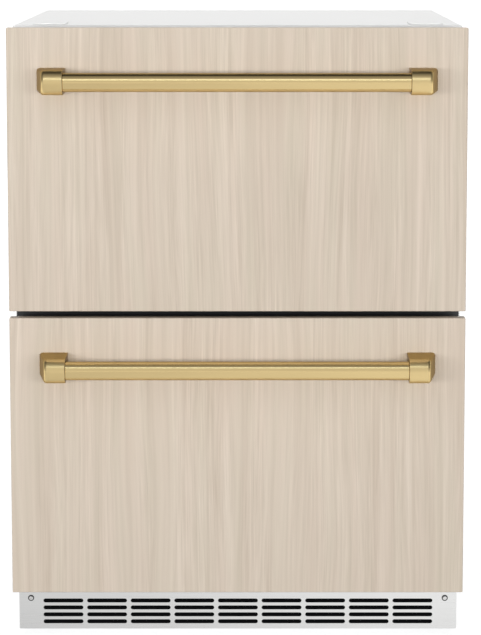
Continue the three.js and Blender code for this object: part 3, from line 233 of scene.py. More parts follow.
def veneer(look):
    """Pale quarter-cut veneer: upright figure with leaning flames, streaks and fine fibres."""
    finish = Finish("Veneer")
    x, y, z = finish.parts(finish.place)
    upper = finish.math("GREATER_THAN", z, GAP_BETWEEN_FRONTS)

    def grain(place, narrow, long, seed, detail=1, roughness=0.5):
        """Noise in cells a metre, narrow across the grain and long along it."""
        return finish.noise(finish.vector(place * narrow, seed, z * long), detail, roughness)

    across = x + y * 0.7 + upper * 0.83
    sway = grain(across, narrow=8, long=1.7, seed=upper)
    lean = grain(across, narrow=24, long=2.6, seed=upper + 4)
    figure = across + sway.swing(0.034) + lean.swing(0.012)
    bands = grain(figure, narrow=26, long=0.8, seed=2)
    streaks = grain(figure, narrow=115, long=2.2, seed=5)
    threads = grain(figure, narrow=330, long=6, seed=7, detail=2, roughness=0.6)
    fibres = grain(figure, narrow=800, long=16, seed=9, detail=2, roughness=0.6)
    calm = grain(figure, narrow=34, long=1.6, seed=21)
    hue = grain(figure, narrow=45, long=3.5, seed=12)

    busy = finish.ramp(calm, [(0.36, 0.3), (0.6, 1.2)])
    fine = (threads.swing(0.7) + fibres.swing(0.55)) * busy
    depth = bands.swing(0.3) + streaks.swing(0.62) + fine + 0.5
    warm = finish.ramp(hue, [(0.5, 0.0), (0.72, 0.1)])
    cool = finish.ramp(hue, [(0.28, 0.14), (0.5, 0.0)])
    colour = finish.blend(depth, shade(look.veneer_dark), shade(look.veneer_light))
    colour = finish.blend(warm, colour, shade(look.veneer_blush))
    return finish.surface(
        base_color=finish.blend(cool, colour, shade(look.veneer_moss)),
        roughness=0.5 + fibres.swing(0.2),
        normal=finish.bump(fibres, 0.1 * MM, 0.5),
    )


def bronze(look):
    """Satin bronze with faint lines along the bar; the cast posts are rougher."""
    finish = Finish("Bronze")
    lines = finish.stretched(12, 3000, 3000, detail=1)
    cloud = finish.stretched(12, 60, 60, detail=3)
    x, _, _ = finish.parts(finish.place)
    cast = finish.math("GREATER_THAN", finish.math("ABSOLUTE", x), INNER_END_OF_POSTS)
    return finish.surface(
        base_color=finish.tones(cloud, look.bronze, 0.94, 1.04),
        metallic=1.0,
        roughness=0.2 + cast * 0.1 + lines.swing(0.04) + cloud.swing(0.04),
        specular_tint=(0.35, 0.31, 0.26, 1),
        normal=finish.bump(lines, 0.001 * MM, 0.15),
    )


def stainless(look):
    """Stainless sheet brushed from side to side, the tubs greyer than the kick grille."""
    finish = Finish("Stainless")
    lines = finish.stretched(8, 700, 900, detail=3, roughness=0.7)
    cloud = finish.stretched(5, 9, 14, detail=2)
    _, _, z = finish.parts(finish.place)
    tub = finish.math("GREATER_THAN", z, TOP_OF_KICK)
    kick_tone = finish.tones(lines, look.steel, 0.92, 1.06)
    tub_tone = finish.tones(lines, look.tub_steel, 0.9, 1.08)
    return finish.surface(
        base_color=finish.blend(tub, kick_tone, tub_tone),
        metallic=1.0 - tub * 0.35,
        roughness=0.3 + tub * 0.1 + lines.swing(0.22) + cloud.swing(0.1),
        normal=finish.bump(lines, 0.03 * MM, 0.5),
    )


def galvanised(look):
    """Zinc-coated sheet with soft spangle."""
    finish = Finish("Galvanised")
    facet, _, _ = finish.parts(finish.cells(85, "Color"))
    frost = finish.noise(finish.place, scale=260, detail=3)
    level = facet * 0.7 + frost * 0.3
    return finish.surface(
        base_color=finish.tones(level, look.zinc, 0.82, 1.1),
        metallic=0.9,
        roughness=0.42 + level.swing(0.2),
        normal=finish.bump(level, 0.04 * MM, 0.5),
    )


def foam(look):
    """Set polyurethane foam with open cells."""
    finish = Finish("Foam")
    cells = finish.cells(320, "Distance")
    cloud = finish.noise(finish.place, scale=14, detail=3)
    return finish.surface(
        base_color=finish.tones(cloud, look.foam, 0.88, 1.05),
        roughness=0.85 + cloud.swing(0.1),
        normal=finish.bump(cells, 0.8 * MM, 0.8),
    )


def painted_shade_screen(look):
    """Matt black screen of fine woven threads, a dark sheet of painted shade for the kick grille's
    slots.
    """
    finish = Finish("Screen")
    x, _, z = finish.parts(finish.place)
    half_pitch = 0.4 * MM
    warp = finish.zigzag(x, half_pitch)
    weft = finish.zigzag(z, half_pitch)
    threads = finish.math("MAXIMUM", warp, weft)
    return finish.surface(
        base_color=finish.tones(threads, look.black, 0.15, 0.4),
        roughness=0.9 + threads.swing(0.1),
        specular_ior_level=0.1,
        normal=finish.bump(threads, 0.1 * MM, 0.5),
    )


def lens(look):
    """Ribbed diffuser, softly lit."""
    finish = Finish("Lens")
    x, _, _ = finish.parts(finish.place)
    ribs = finish.zigzag(x, 1.5 * MM)
    glow = finish.tones(ribs, look.lens, 0.9, 1.0)
    return finish.surface(
        base_color=glow,
        roughness=0.3 + ribs * 0.1,
        emission_color=glow,
        emission_strength=0.35,
        normal=finish.bump(ribs, 0.3 * MM, 0.6),
    )


def mottled(
    name, colour, roughness, tones, cloud, grain, depth,
    cloud_detail=2, cloud_swing=0.0, grain_swing=0.0, strength=0.4, **more,
):
    """Even finish with a cloudy tone and a fine grain, in cells a metre, and the grain's depth."""
    finish = Finish(name)
    fine = finish.noise(finish.place, scale=grain)
    broad = finish.noise(finish.place, scale=cloud, detail=cloud_detail)
    return finish.surface(
        base_color=finish.tones(broad, colour, *tones),
        roughness=roughness + fine.swing(grain_swing) + broad.swing(cloud_swing),
        normal=finish.bump(fine, depth, strength),
        **more,
    )


POWDER_COAT = dict(tones=(0.975, 1.02), cloud=4, cloud_detail=3, cloud_swing=0.14, strength=0.35)
MOULDING = dict(tones=(0.95, 1.03), cloud=7, grain_swing=0.2)
PLASTIC = dict(tones=(0.95, 1.03), cloud=9, cloud_swing=0.06, grain_swing=0.16)
PAINT = dict(tones=(0.9, 1.15), cloud=11, cloud_detail=3, cloud_swing=0.12)
DRAWN = dict(tones=(0.78, 1.08), cloud=24, cloud_detail=4, cloud_swing=0.25, metallic=1.0)
PEEL = dict(grain=300, depth=0.08 * MM)
LINES = dict(grain=500, depth=0.03 * MM)

MATERIALS = {}


def make_materials(look):
    """One material for each slot of the record, and one of its own for the dark screen of painted
    shade behind the kick grille.
    """
    MATERIALS.update(
        veneer=veneer(look),
        bronze=bronze(look),
        stainless=stainless(look),
        casing=mottled("Casing", look.casing, 0.36, **POWDER_COAT, grain=420, depth=0.12 * MM),
        door_skin=mottled("Door skin", look.door_skin, 0.5, **MOULDING, grain=900, depth=0.12 * MM),
        galvanised=galvanised(look),
        liner=mottled("Liner", look.liner, 0.38, **PLASTIC, grain=350, depth=0.1 * MM),
        foam=foam(look),
        trim=mottled("Trim", look.trim, 0.45, **PAINT, **PEEL, coat_weight=0.1),
        gasket=mottled("Gasket", look.rubber, 0.6, **PLASTIC, grain=700, depth=0.1 * MM),
        black=mottled("Black plastic", look.black, 0.42, **PLASTIC, grain=800, depth=0.12 * MM),
        # Dark screen of painted shade behind the kick grille's slots
        screen=painted_shade_screen(look),
        enamel=mottled("Enamel", look.enamel, 0.25, **PAINT, **PEEL, coat_weight=0.6),
        lens=lens(look),
        copper=mottled("Copper", look.copper, 0.32, **DRAWN, **LINES),
        aluminium=mottled("Aluminium", look.aluminium, 0.36, **DRAWN, **LINES),
    )


# Meshes


def sweep(steps, first=0, last=90):
    """Cosine and sine at even steps from one angle to another, in degrees."""
    angles = [math.radians(first + (last - first) * i / steps) for i in range(steps + 1)]
    return [(math.cos(angle), math.sin(angle)) for angle in angles]


def soft_steps(steps):
    """Even shares of a way, each with its share of a rise that starts and ends level."""
    shares = [step / steps for step in range(1, steps + 1)]
    return [(share, (1 - math.cos(math.pi * share)) / 2) for share in shares]


def outline(u0, u1, v0, v1, radius, steps):
    """Rounded rectangle as (u, v) points, anticlockwise, the same count for any size."""
    r = max(min(radius, (u1 - u0) / 2 - SLIVER, (v1 - v0) / 2 - SLIVER), SLIVER)
    corners = ((u1 - r, v0 + r), (u1 - r, v1 - r), (u0 + r, v1 - r), (u0 + r, v0 + r))
    return [
        (u + r * cos, v + r * sin)
        for quarter, (u, v) in enumerate(corners, -1)
        for cos, sin in sweep(steps, 90 * quarter, 90 * quarter + 90)
    ]


def upright_ring(low, high, inset, y, radius, steps):
    """Section across the depth of a box, drawn in from its sides."""
    sides = (low.x + inset, high.x - inset, low.z + inset, high.z - inset)
    return [(x, y, z) for x, z in outline(*sides, radius, steps)]


def level_ring(low, high, inset, z, radius, steps):
    """Section at a height of a box, drawn in from its sides."""
    sides = (low.x + inset, high.x - inset, low.y + inset, high.y - inset)
    return [(x, y, z) for x, y in outline(*sides, radius, steps)]


def loft(rings, closed=False):
    """Mesh through rings of equal length, capped at both ends or joined end to end."""
    shell = bmesh.new()
    loops = [[shell.verts.new(point) for point in ring] for ring in rings]
    pairs = list(zip(loops, loops[1:])) + ([(loops[-1], loops[0])] if closed else [])
    for near, far in pairs:
        for i, a in enumerate(near):
            j = (i + 1) % len(near)
            shell.faces.new((a, near[j], far[j], far[i]))
    if not closed:
        shell.faces.new(reversed(loops[0]))
        shell.faces.new(loops[-1])
    return shell


# Turns a shape that stands along Z to stand along another axis
ALONG = {
    "x": Matrix.Rotation(math.pi / 2, 4, "Y"),
    "y": Matrix.Rotation(-math.pi / 2, 4, "X"),
    "z": Matrix(),
}


def turned(profile, sides, axis="z"):
    """Profile of (radius, height) points turned about an axis, flat at both ends."""
    shell = bmesh.new()
    ends = [shell.verts.new((0, 0, profile[i][1])) for i in (0, -1)]
    angles = [2 * math.pi * i / sides for i in range(sides)]
    loops = [
        [shell.verts.new((radius * math.cos(a), radius * math.sin(a), height)) for a in angles]
        for radius, height in profile
    ]
    for i in range(sides):
        j = (i + 1) % sides
        shell.faces.new((ends[0], loops[0][j], loops[0][i]))
        shell.faces.new((ends[1], loops[-1][i], loops[-1][j]))
        for near, far in zip(loops, loops[1:]):
            shell.faces.new((near[i], near[j], far[j], far[i]))
    bmesh.ops.transform(shell, matrix=ALONG[axis], verts=shell.verts)
    return shell


def moved(shell, x=0.0, y=0.0, z=0.0):
    bmesh.ops.translate(shell, vec=(x, y, z), verts=shell.verts)
    return shell


def board(low, high):
    """A box between two corners."""
    shell = bmesh.new()
    bmesh.ops.create_cube(shell, size=1)
    bmesh.ops.scale(shell, vec=high - low, verts=shell.verts)
    return moved(shell, *((low + high) / 2))


def bevelled(shell, width, segments=3):
    """Rounds every sharp edge."""
    bmesh.ops.recalc_face_normals(shell, faces=shell.faces)
    edges = [edge for edge in shell.edges if edge.calc_face_angle(0) > SHARP]
    round_form = {"profile": 0.5, "affect": "EDGES", "clamp_overlap": True}
    bmesh.ops.bevel(shell, geom=edges, offset=width, segments=segments, **round_form)
    return shell


def joined(*shells):
    """Several shells as one."""
    whole = bmesh.new()
    for shell in shells:
        mesh = bpy.data.meshes.new("part")
        shell.to_mesh(mesh)
        shell.free()
        whole.from_mesh(mesh)
        bpy.data.meshes.remove(mesh)
    return whole


def linked(name, data):
    """A new object in the scene."""
    piece = bpy.data.objects.new(name, data)
    bpy.context.scene.collection.objects.link(piece)
    return piece


def holder_of(shell, name):
    """A shell as an object that modifiers and trees can use."""
    bmesh.ops.recalc_face_normals(shell, faces=shell.faces)
    mesh = bpy.data.meshes.new(name)
    shell.to_mesh(mesh)
    shell.free()
    return linked(name, mesh)


def evaluated_mesh(holder):
    """Plain mesh of an object with its modifiers applied."""
    bpy.context.view_layer.update()
    seen = holder.evaluated_get(bpy.context.evaluated_depsgraph_get())
    return bpy.data.meshes.new_from_object(seen)


def carved(shell, *tools):
    """Shell with the tools' shapes cut out of it."""
    whole = holder_of(shell, "carved")
    for tool in tools:
        cutter = holder_of(tool, "cutter")
        modifier = whole.modifiers.new("cut", "BOOLEAN")
        modifier.operation = "DIFFERENCE"
        modifier.solver = "EXACT"
        modifier.object = cutter
        mesh = evaluated_mesh(whole)
        whole.modifiers.remove(modifier)
        bpy.data.objects.remove(cutter)
        whole.data = mesh
    result = bmesh.new()
    result.from_mesh(whole.data)
    bpy.data.objects.remove(whole)
    return result


def screw_head(radius, height, recess):
    """Pan head with a cross recess, standing on z = 0 and facing +Z."""
    flat, upright = 0.45, 0.35
    profile = [(radius, 0)] + [
        (radius * (flat + (1 - flat) * cos), height * (upright + (1 - upright) * sin))
        for cos, sin in sweep(5)
    ]
    corner = Vector((recess, recess * 0.26, height)) / 2
    arms = []
    for angle in (0, math.pi / 2):
        arm = board(-corner, corner)
        turn = Matrix.Rotation(angle, 3, "Z")
        bmesh.ops.rotate(arm, cent=(0, 0, 0), matrix=turn, verts=arm.verts)
        arms.append(moved(arm, z=height * 0.95))
    return carved(turned(profile, 20), *arms)


def place(name, body, slot, source, replaced=(), finish=None):
    """Turns a shell or a mesh into a piece on a body, in the slot's finish or its own."""
    mesh = source
    if isinstance(source, bmesh.types.BMesh):
        bmesh.ops.remove_doubles(source, verts=source.verts, dist=WELD)
        bmesh.ops.recalc_face_normals(source, faces=source.faces)
        mesh = bpy.data.meshes.new(name)
        source.to_mesh(mesh)
        source.free()
    mesh.name = name
    mesh.materials.clear()
    mesh.materials.append(MATERIALS[finish or slot])
    mesh.shade_smooth()
    mesh.set_sharp_from_angle(angle=SMOOTH)
    piece = linked(name, mesh)
    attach(piece, body)
    if replaced:
        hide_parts(*replaced)


# Geometry Nodes

SOCKET_KINDS = {
    float: "NodeSocketFloat",
    int: "NodeSocketInt",
    bpy.types.Object: "NodeSocketObject",
}


class Fitting(Graph):
    """A Geometry Nodes tree with one named input for each size, and what it makes."""

    def __init__(self, name, **sizes):
        super().__init__(bpy.data.node_groups.new(name, "GeometryNodeTree"))
        self.sizes = {key.replace("_", " ").title(): value for key, value in sizes.items()}
        face = self.tree.interface
        for key, value in self.sizes.items():
            face.new_socket(key, in_out="INPUT", socket_type=SOCKET_KINDS[type(value)])
        face.new_socket("Finish", in_out="INPUT", socket_type="NodeSocketMaterial")
        face.new_socket("Geometry", in_out="OUTPUT", socket_type="NodeSocketGeometry")
        self.entry = self.tree.nodes.new("NodeGroupInput")

    def size(self, name):
        return Wire(self, self.entry.outputs[name])

    def geo(self, kind, sockets=None, settings=None, out=0):
        return self.node("GeometryNode" + kind, settings, sockets, out)

    def move(self, geometry, translation=(0, 0, 0), rotation=(0, 0, 0)):
        sockets = {"Geometry": geometry, "Translation": translation, "Rotation": rotation}
        return self.geo("Transform", sockets)

    def rectangle(self, width, height, radius, count=4):
        """Rounded rectangle as a closed curve."""
        bare = self.geo("CurvePrimitiveQuadrilateral", {0: width, 1: height})
        sockets = {"Curve": bare, "Count": count, "Radius": radius, "Limit Radius": True}
        return self.geo("FilletCurve", sockets, {"mode": "POLY"})

    def plate(self, curves, thickness):
        """Flat plate from its outline and holes, rising from z = 0, closed."""
        face = self.geo("FillCurve", {"Curve": curves}, {"mode": "NGONS"})
        sockets = {"Mesh": face, "Offset Scale": thickness, "Individual": False}
        raised = self.geo("ExtrudeMesh", sockets)
        back = self.geo("FlipFaces", {"Mesh": face})
        both = self.geo("JoinGeometry", {"Geometry": [raised, back]})
        return self.geo("MergeByDistance", {"Geometry": both, "Distance": WELD})

    def bake(self, geometry, slot):
        """Plain mesh of the tree's result in the finish of a slot."""
        real = self.geo("RealizeInstances", {"Geometry": geometry})
        dressed = self.geo("SetMaterial", {"Geometry": real, "Material": self.size("Finish")})
        self.node("NodeGroupOutput", None, {"Geometry": dressed})
        holder = linked(self.tree.name, bpy.data.meshes.new(self.tree.name))
        modifier = holder.modifiers.new(self.tree.name, "NODES")
        modifier.node_group = self.tree
        values = {**self.sizes, "Finish": MATERIALS[slot]}
        for item in self.tree.interface.items_tree:
            if item.item_type == "SOCKET" and item.in_out == "INPUT":
                modifier[item.identifier] = values[item.name]
        mesh = evaluated_mesh(holder)
        holder.modifiers.remove(modifier)
        bpy.data.objects.remove(holder)
        return mesh


# Settings


def number(name, description, default, unit="NONE"):
    value = {"default": default, "unit": unit, "precision": 5}
    return FloatProperty(name=name, description=description, **value)


def length(name, description, millimetres):
    return number(name, description, millimetres * MM, "LENGTH")


def count(name, description, default, least=1):
    return IntProperty(name=name, description=description, default=default, min=least)


def swatch(name, description, code):
    return FloatVectorProperty(
        name=name, description=description, default=tint(code), subtype="COLOR", min=0, max=1
    )


class FRIDGE_PG_look(PropertyGroup):
    """Colours of the finishes."""

    veneer_light: swatch("Veneer, light", "Lightest streaks of the veneer", 0xE1D4C5)
    veneer_dark: swatch("Veneer, dark", "Darkest streaks of the veneer", 0xB4A593)
    veneer_blush: swatch("Veneer, blush", "Warm patches of the veneer", 0xD8BFB2)
    veneer_moss: swatch("Veneer, moss", "Cool patches of the veneer", 0xC4C2AB)
    bronze: swatch("Bronze", "Handles", 0xEED49A)
    steel: swatch("Stainless", "Kick grille", 0xF8F8F7)
    tub_steel: swatch("Stainless, tubs", "Drawer tubs", 0xC6C7C8)
    casing: swatch("Casing", "Painted casing", 0xEDEDEC)
    door_skin: swatch("Door skin", "Outside of the insulated doors", 0xC8C8C8)
    zinc: swatch("Galvanised", "Zinc-coated sheet", 0xC9CCCE)
    liner: swatch("Liner", "Moulded liners", 0xECEEEE)
    foam: swatch("Foam", "Insulation", 0xE2D3A4)
    trim: swatch("Trim", "Cover between the compartments", 0x2B2B2D)
    rubber: swatch("Gasket", "Door gaskets", 0x1A1A1B)
    black: swatch("Black plastic", "Feet, fans and control", 0x16171A)
    enamel: swatch("Enamel", "Compressor and motors", 0x17181A)
    lens: swatch("Lens", "Light covers", 0xF7F7F2)
    copper: swatch("Copper", "Pipes", 0xC27A55)
    aluminium: swatch("Aluminium", "Coils", 0xC9CCCE)


class FRIDGE_PG_fronts(PropertyGroup):
    """Drawer fronts and handles."""

    easing: length("Edge easing", "Rounding of the veneered panels' edges", 1.2)
    post_rounding: length("Post rounding", "Rounding of a post's outer end", 4.5)
    strip_lip: length("Strip lip", "Soft lip under the dark strip", 3)
    bar_chamfer: length("Bar chamfer", "Chamfer at the ends of a bar", 0.3)
    bar_sides: count("Bar sides", "Sides of the turned bar", 96, least=3)


class FRIDGE_PG_liners(PropertyGroup):
    """Frames round the compartments' openings."""

    frame_sheet: length("Frame sheet", "Thickness of an opening's frame", 0.8)
    frame_reach: length("Frame reach", "How far the frame passes the liner's lip", 0.3)
    frame_overlap: length("Frame overlap", "How far the frame covers the liner's lip", 0.6)
    lip_corner: length("Lip corner", "Corner radius of the liner's lip", 17)


class FRIDGE_PG_tubs(PropertyGroup):
    """Drawer tubs and doors."""

    wall: length("Wall", "Thickness of a tub's sheet", 1.5)
    rim_width: length("Rim width", "Rim beyond the tub's walls", 6)
    rim_height: length("Rim height", "Thickness of the folded rim", 2.5)
    corner: length("Corner radius", "Upright corners of a tub", 22)
    floor_radius: length("Floor radius", "Bend between walls and floor", 9)
    door_corner: length("Door corner", "Corner radius of a door", 4)
    dike: length("Dike", "Height of the raised field inside a door", 6)


class FRIDGE_PG_grille(PropertyGroup):
    """Kick grille and its screws."""

    columns: count("Columns", "Slots in a row", 9)
    rows: count("Rows", "Rows of slots", 4)
    slot_length: length("Slot length", "Length of a slot", 54.3)
    slot_height: length("Slot height", "Height of a slot", 5.6)
    column_pitch: length("Column pitch", "Distance between two columns", 59.4)
    row_pitch: length("Row pitch", "Distance between two rows", 9.7)
    first_row: length("First row", "Centre of the lowest row above the floor", 22.2)
    sheet: length("Sheet", "Thickness of the sheet", 1.5)
    # The dark screen behind the slots is painted shade, seen black through them
    screen: length("Screen", "Thickness of the dark screen behind the slots", 0.5)
    # Width of the black ring of painted shadow round each screw head
    shade_ring: length("Shade ring", "How far a screw's washer shows round its head", 1.1)


class FRIDGE_PG_studio(PropertyGroup):
    """Camera, lights and floor."""

    camera: FloatVectorProperty(
        name="Camera", description="Where the camera stands",
        default=(0.01833, -3.43552, 0.97263), subtype="TRANSLATION", unit="LENGTH",
    )
    tilt: number("Tilt", "How far the camera looks down", 0.12358172, "ROTATION")
    lens: number("Lens", "Focal length in millimetres", 138.604, "CAMERA")
    shift_x: number("Shift across", "Lens shift across", -0.01715)
    shift_y: number("Shift up", "Lens shift up", -0.15)
    sky: number("Surround", "Brightness of the studio's walls", 1.0)
    strip_power: number("Strip light", "Power of the strip above the camera", 1.8, "POWER")
    front_power: number("Front light", "Power of the wide light at the camera", 94.0, "POWER")
    top_power: number("Top light", "Power of the light overhead", 46.0, "POWER")


# Operators


class FRIDGE_OT_finishes(Operator):
    """Gives every carried-over part the material of its slot"""

    bl_idname = "fridge.finishes"
    bl_label = "Finishes"

    def execute(self, context):
        make_materials(context.scene.fridge_look)
        for name, node in frame["nodes"].items():
            slot = SLOT_OF.get(name)
            if slot not in MATERIALS:
                raise RuntimeError(f"no finish for {name}")
            node.data.materials.clear()
            node.data.materials.append(MATERIALS[slot])
        return {"FINISHED"}


class FRIDGE_OT_panels(Operator):
    """Makes the two veneered drawer fronts"""

    bl_idname = "fridge.panels"
    bl_label = "Veneered panels"

    def execute(self, context):
        fronts = context.scene.fridge_fronts
        for level in LEVELS:
            panel = bevelled(board(*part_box(f"{level}_panel")), fronts.easing, segments=4)
            place(f"{level}_front", f"{level}_drawer", "veneer", panel, [f"{level}_panel"])
        return {"FINISHED"}


class FRIDGE_OT_gap(Operator):
    """Makes the dark strip seen between the two drawer fronts"""

    bl_idname = "fridge.gap"
    bl_label = "Gap strip"

    def execute(self, context):
        low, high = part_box("mullion_strip")
        lip = Vector((0, 0, context.scene.fridge_fronts.strip_lip))
        ease = 0.3 * MM
        strip = bevelled(board(low - lip, high), ease, segments=2)
        place("gap_strip", "cabinet", "trim", strip, ["mullion_strip"])
        return {"FINISHED"}


class FRIDGE_OT_openings(Operator):
    """Makes the thin frames that close the corners round the liners' lips"""

    bl_idname = "fridge.openings"
    bl_label = "Opening frames"

    def execute(self, context):
        shape = context.scene.fridge_liners
        set_back, outer_corner = 0.1 * MM, 0.5 * MM
        for level in LEVELS:
            low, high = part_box(f"{level}_liner")
            front = low.y + set_back
            back = front + shape.frame_sheet
            outside = (-shape.frame_reach, outer_corner)
            inside = (shape.frame_overlap, shape.lip_corner)
            sections = ((outside, front), (outside, back), (inside, back), (inside, front))
            rings = [upright_ring(low, high, inset, y, r, 8) for (inset, r), y in sections]
            place(f"{level}_opening_frame", "cabinet", "liner", loft(rings, closed=True))
        return {"FINISHED"}


class FRIDGE_OT_handles(Operator):
    """Makes the bars and the cast posts of the handles"""

    bl_idname = "fridge.handles"
    bl_label = "Handles"

    def execute(self, context):
        fronts = context.scene.fridge_fronts
        for level in LEVELS:
            self.bar(level, fronts)
            for side, sign in SIDES:
                self.post(level, side, sign, fronts.post_rounding)
        return {"FINISHED"}

    def bar(self, level, fronts):
        node = f"{level}_handle_bar"
        low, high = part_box(node)
        middle = (low + high) / 2
        radius = (high.z - low.z) / 2
        inner = INNER_END_OF_POSTS - SEAT / 2
        spigot = 7 * MM
        chamfer = fronts.bar_chamfer
        half = [(spigot, -high.x), (spigot, -inner)]
        half += [(radius - chamfer, -inner), (radius, -inner + chamfer)]
        profile = half + [(r, -h) for r, h in reversed(half)]
        bar = moved(turned(profile, fronts.bar_sides, "x"), y=middle.y, z=middle.z)
        place(f"{level}_bar", f"{level}_drawer", "bronze", bar, [node])

    def post(self, level, side, sign, rounding):
        """Half-round block whose outer end leans in towards the front."""
        node = f"{level}_handle_post_{side}"
        low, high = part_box(node)
        centre = sum(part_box(f"{level}_handle_bar"), Vector()) / 2
        radius = (high.z - low.z) / 2
        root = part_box(f"{level}_panel")[0].y - SEAT
        inner, outer = sorted((abs(low.x), abs(high.x)))
        lean = 10.9 * MM / (root - low.y)  # inwards for each metre forwards
        ease = 0.3 * MM

        def ring(inset, reach):
            """Section of the post, drawn in all round by an inset."""
            r = radius - inset
            points = [(centre.y + r * cos, centre.z + r * sin) for cos, sin in sweep(24, 90, 270)]
            points = [(root, centre.z + r), *points, (root, centre.z - r)]
            return [(sign * reach(y), y, z) for y, z in points]

        def outer_side(y):
            return outer - (root - y) * lean

        rings = [ring(ease, lambda y: inner), ring(0, lambda y: inner + ease)]
        rings += [
            ring(rounding * (1 - cos), lambda y, s=sin: outer_side(y) - rounding + rounding * s)
            for cos, sin in sweep(8)
        ]
        place(f"{level}_post_{side}", f"{level}_drawer", "bronze", loft(rings), [node])


class FRIDGE_OT_kick_grille(Operator):
    """Makes the slotted kick grille, the dark screen of painted shade behind it and its screws"""

    bl_idname = "fridge.kick_grille"
    bl_label = "Kick grille"

    def execute(self, context):
        grille = context.scene.fridge_grille
        self.sheet(grille)
        self.screen(grille)
        for side, _ in SIDES:
            self.screw(f"kick_screw_{side}", grille.shade_ring)
        return {"FINISHED"}

    def sheet(self, grille):
        """Slotted sheet with a fold back at each end."""
        low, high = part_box("kick_grille")
        centre = (low.z + high.z) / 2
        rows_high = (grille.rows - 1) * grille.row_pitch
        sizes = {"width": high.x - low.x, "fold": high.y - low.y, "height": high.z - low.z}
        for name in ("sheet", "slot_length", "slot_height", "columns", "rows"):
            sizes[name] = getattr(grille, name)
        fitting = Fitting(
            "Kick grille",
            **sizes,
            across=(grille.columns - 1) * grille.column_pitch,
            upward=rows_high,
            lift=grille.first_row + rows_high / 2 - centre,
        )
        size, geo = fitting.size, fitting.geo
        sheet, fold, slot_height = size("Sheet"), size("Fold"), size("Slot Height")
        corner, fold_shorter, nearly_half = 1.5 * MM, 2 * MM, 0.499
        edge = fitting.rectangle(size("Width"), size("Height"), corner)
        slot = fitting.rectangle(size("Slot Length"), slot_height, slot_height * nearly_half, 6)
        spacing = {
            "Size X": size("Across"),
            "Size Y": size("Upward"),
            "Vertices X": size("Columns"),
            "Vertices Y": size("Rows"),
        }
        slots = geo("InstanceOnPoints", {"Points": geo("MeshGrid", spacing), "Instance": slot})
        slots = geo("RealizeInstances", {"Geometry": slots})
        slots = fitting.move(slots, fitting.vector(0.0, size("Lift")))
        face = fitting.plate(geo("JoinGeometry", {"Geometry": [edge, slots]}), sheet)
        parts = [fitting.move(face, rotation=(math.pi / 2, 0, 0))]
        for _, sign in SIDES:
            block = fitting.vector(sheet, fold - sheet * 0.5, size("Height") - fold_shorter)
            end = fitting.vector((size("Width") - sheet) * (0.5 * sign), fold * 0.5 - sheet * 0.75)
            parts.append(fitting.move(geo("MeshCube", {"Size": block}), end))
        mesh = fitting.bake(geo("JoinGeometry", {"Geometry": parts}), "stainless")
        mesh.transform(Matrix.Translation((0, low.y + grille.sheet, centre)))
        place("kick_panel", "cabinet", "stainless", mesh, ["kick_grille"])

    def screen(self, grille):
        """Dark screen close behind the slots, painted shade that makes the slots read black."""
        beside, over, behind = 4 * MM, 2 * MM, 0.1 * MM
        half = ((grille.columns - 1) * grille.column_pitch + grille.slot_length) / 2 + beside
        first = grille.first_row - grille.slot_height / 2 - over
        last = grille.first_row + (grille.rows - 1) * grille.row_pitch
        last += grille.slot_height / 2 + over
        front = KICK_FRONT + grille.sheet + behind
        low = Vector((-half, front, first))
        high = Vector((half, front + grille.screen, last))
        sheet = bevelled(board(low, high), 0.1 * MM, segments=1)
        place("kick_screen", "cabinet", "black", sheet, finish="screen")

    def screw(self, node, shade_ring):
        """Pan head with its shank through the sheet, and a black ring round the head that paints
        the shadow round it.
        """
        low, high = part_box(node)
        x, _, z = (low + high) / 2
        radius = (high.x - low.x) / 2
        neck, shank_length = radius * 0.5, 11 * MM
        head = screw_head(radius, 0.6 * radius, radius * 1.15)
        forward = Matrix.Rotation(math.pi / 2, 3, "X")
        bmesh.ops.rotate(head, cent=(0, 0, 0), matrix=forward, verts=head.verts)
        head = moved(head, x, KICK_FRONT - 0.05 * MM, z)
        shank = turned([(neck, 0), (neck, shank_length)], 16, "y")
        shank = moved(shank, x, KICK_FRONT - 0.2 * MM, z)
        place(f"{node}_head", "cabinet", "stainless", joined(head, shank), [node])
        # Black ring round the head: painted shadow round the screw head
        rim, chamfer, thickness = radius + shade_ring, 0.3 * MM, 0.7 * MM
        profile = [(rim, 0), (rim, 0.4 * MM), (rim - chamfer, thickness)]
        ring = moved(turned(profile, 32, "y"), x, KICK_FRONT - 0.6 * MM, z)
        place(f"{node}_washer", "cabinet", "black", ring)


class FRIDGE_OT_tubs(Operator):
    """Makes the two drawer tubs with their folded rims"""

    bl_idname = "fridge.tubs"
    bl_label = "Drawer tubs"

    def execute(self, context):
        tubs = context.scene.fridge_tubs
        for level in LEVELS:
            node = f"{level}_tub"
            tub = loft(self.rings(tubs, *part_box(node)))
            place(f"{level}_drawer_tub", f"{level}_drawer", "stainless", tub, [node])
        return {"FINISHED"}

    def rings(self, tubs, low, high):
        """Sections from the floor's underside up, over the rim and down the inside."""
        rim, bend = tubs.rim_width, tubs.floor_radius
        least_corner = 2 * MM

        def ring(inset, z):
            corner = max(tubs.corner + rim - inset, least_corner)
            return level_ring(low, high, inset, z, corner, 8)

        rings = [ring(rim + bend * (1 - sin), low.z + bend * (1 - cos)) for cos, sin in sweep(6)]
        rings.append(ring(rim, high.z - tubs.rim_height))
        fold = tubs.rim_height / 2
        middle = high.z - fold
        rings += [ring(fold * (1 - cos), middle + fold * sin) for cos, sin in sweep(6, -90, 90)]
        lip = rim + tubs.wall
        ease = 1 * MM
        rings += [ring(lip - ease * (1 - sin), high.z - ease * (1 - cos)) for cos, sin in sweep(3)]
        inner = bend - tubs.wall
        floor = low.z + tubs.wall
        rings += [ring(lip + inner * (1 - cos), floor + inner * (1 - sin)) for cos, sin in sweep(6)]
        return rings


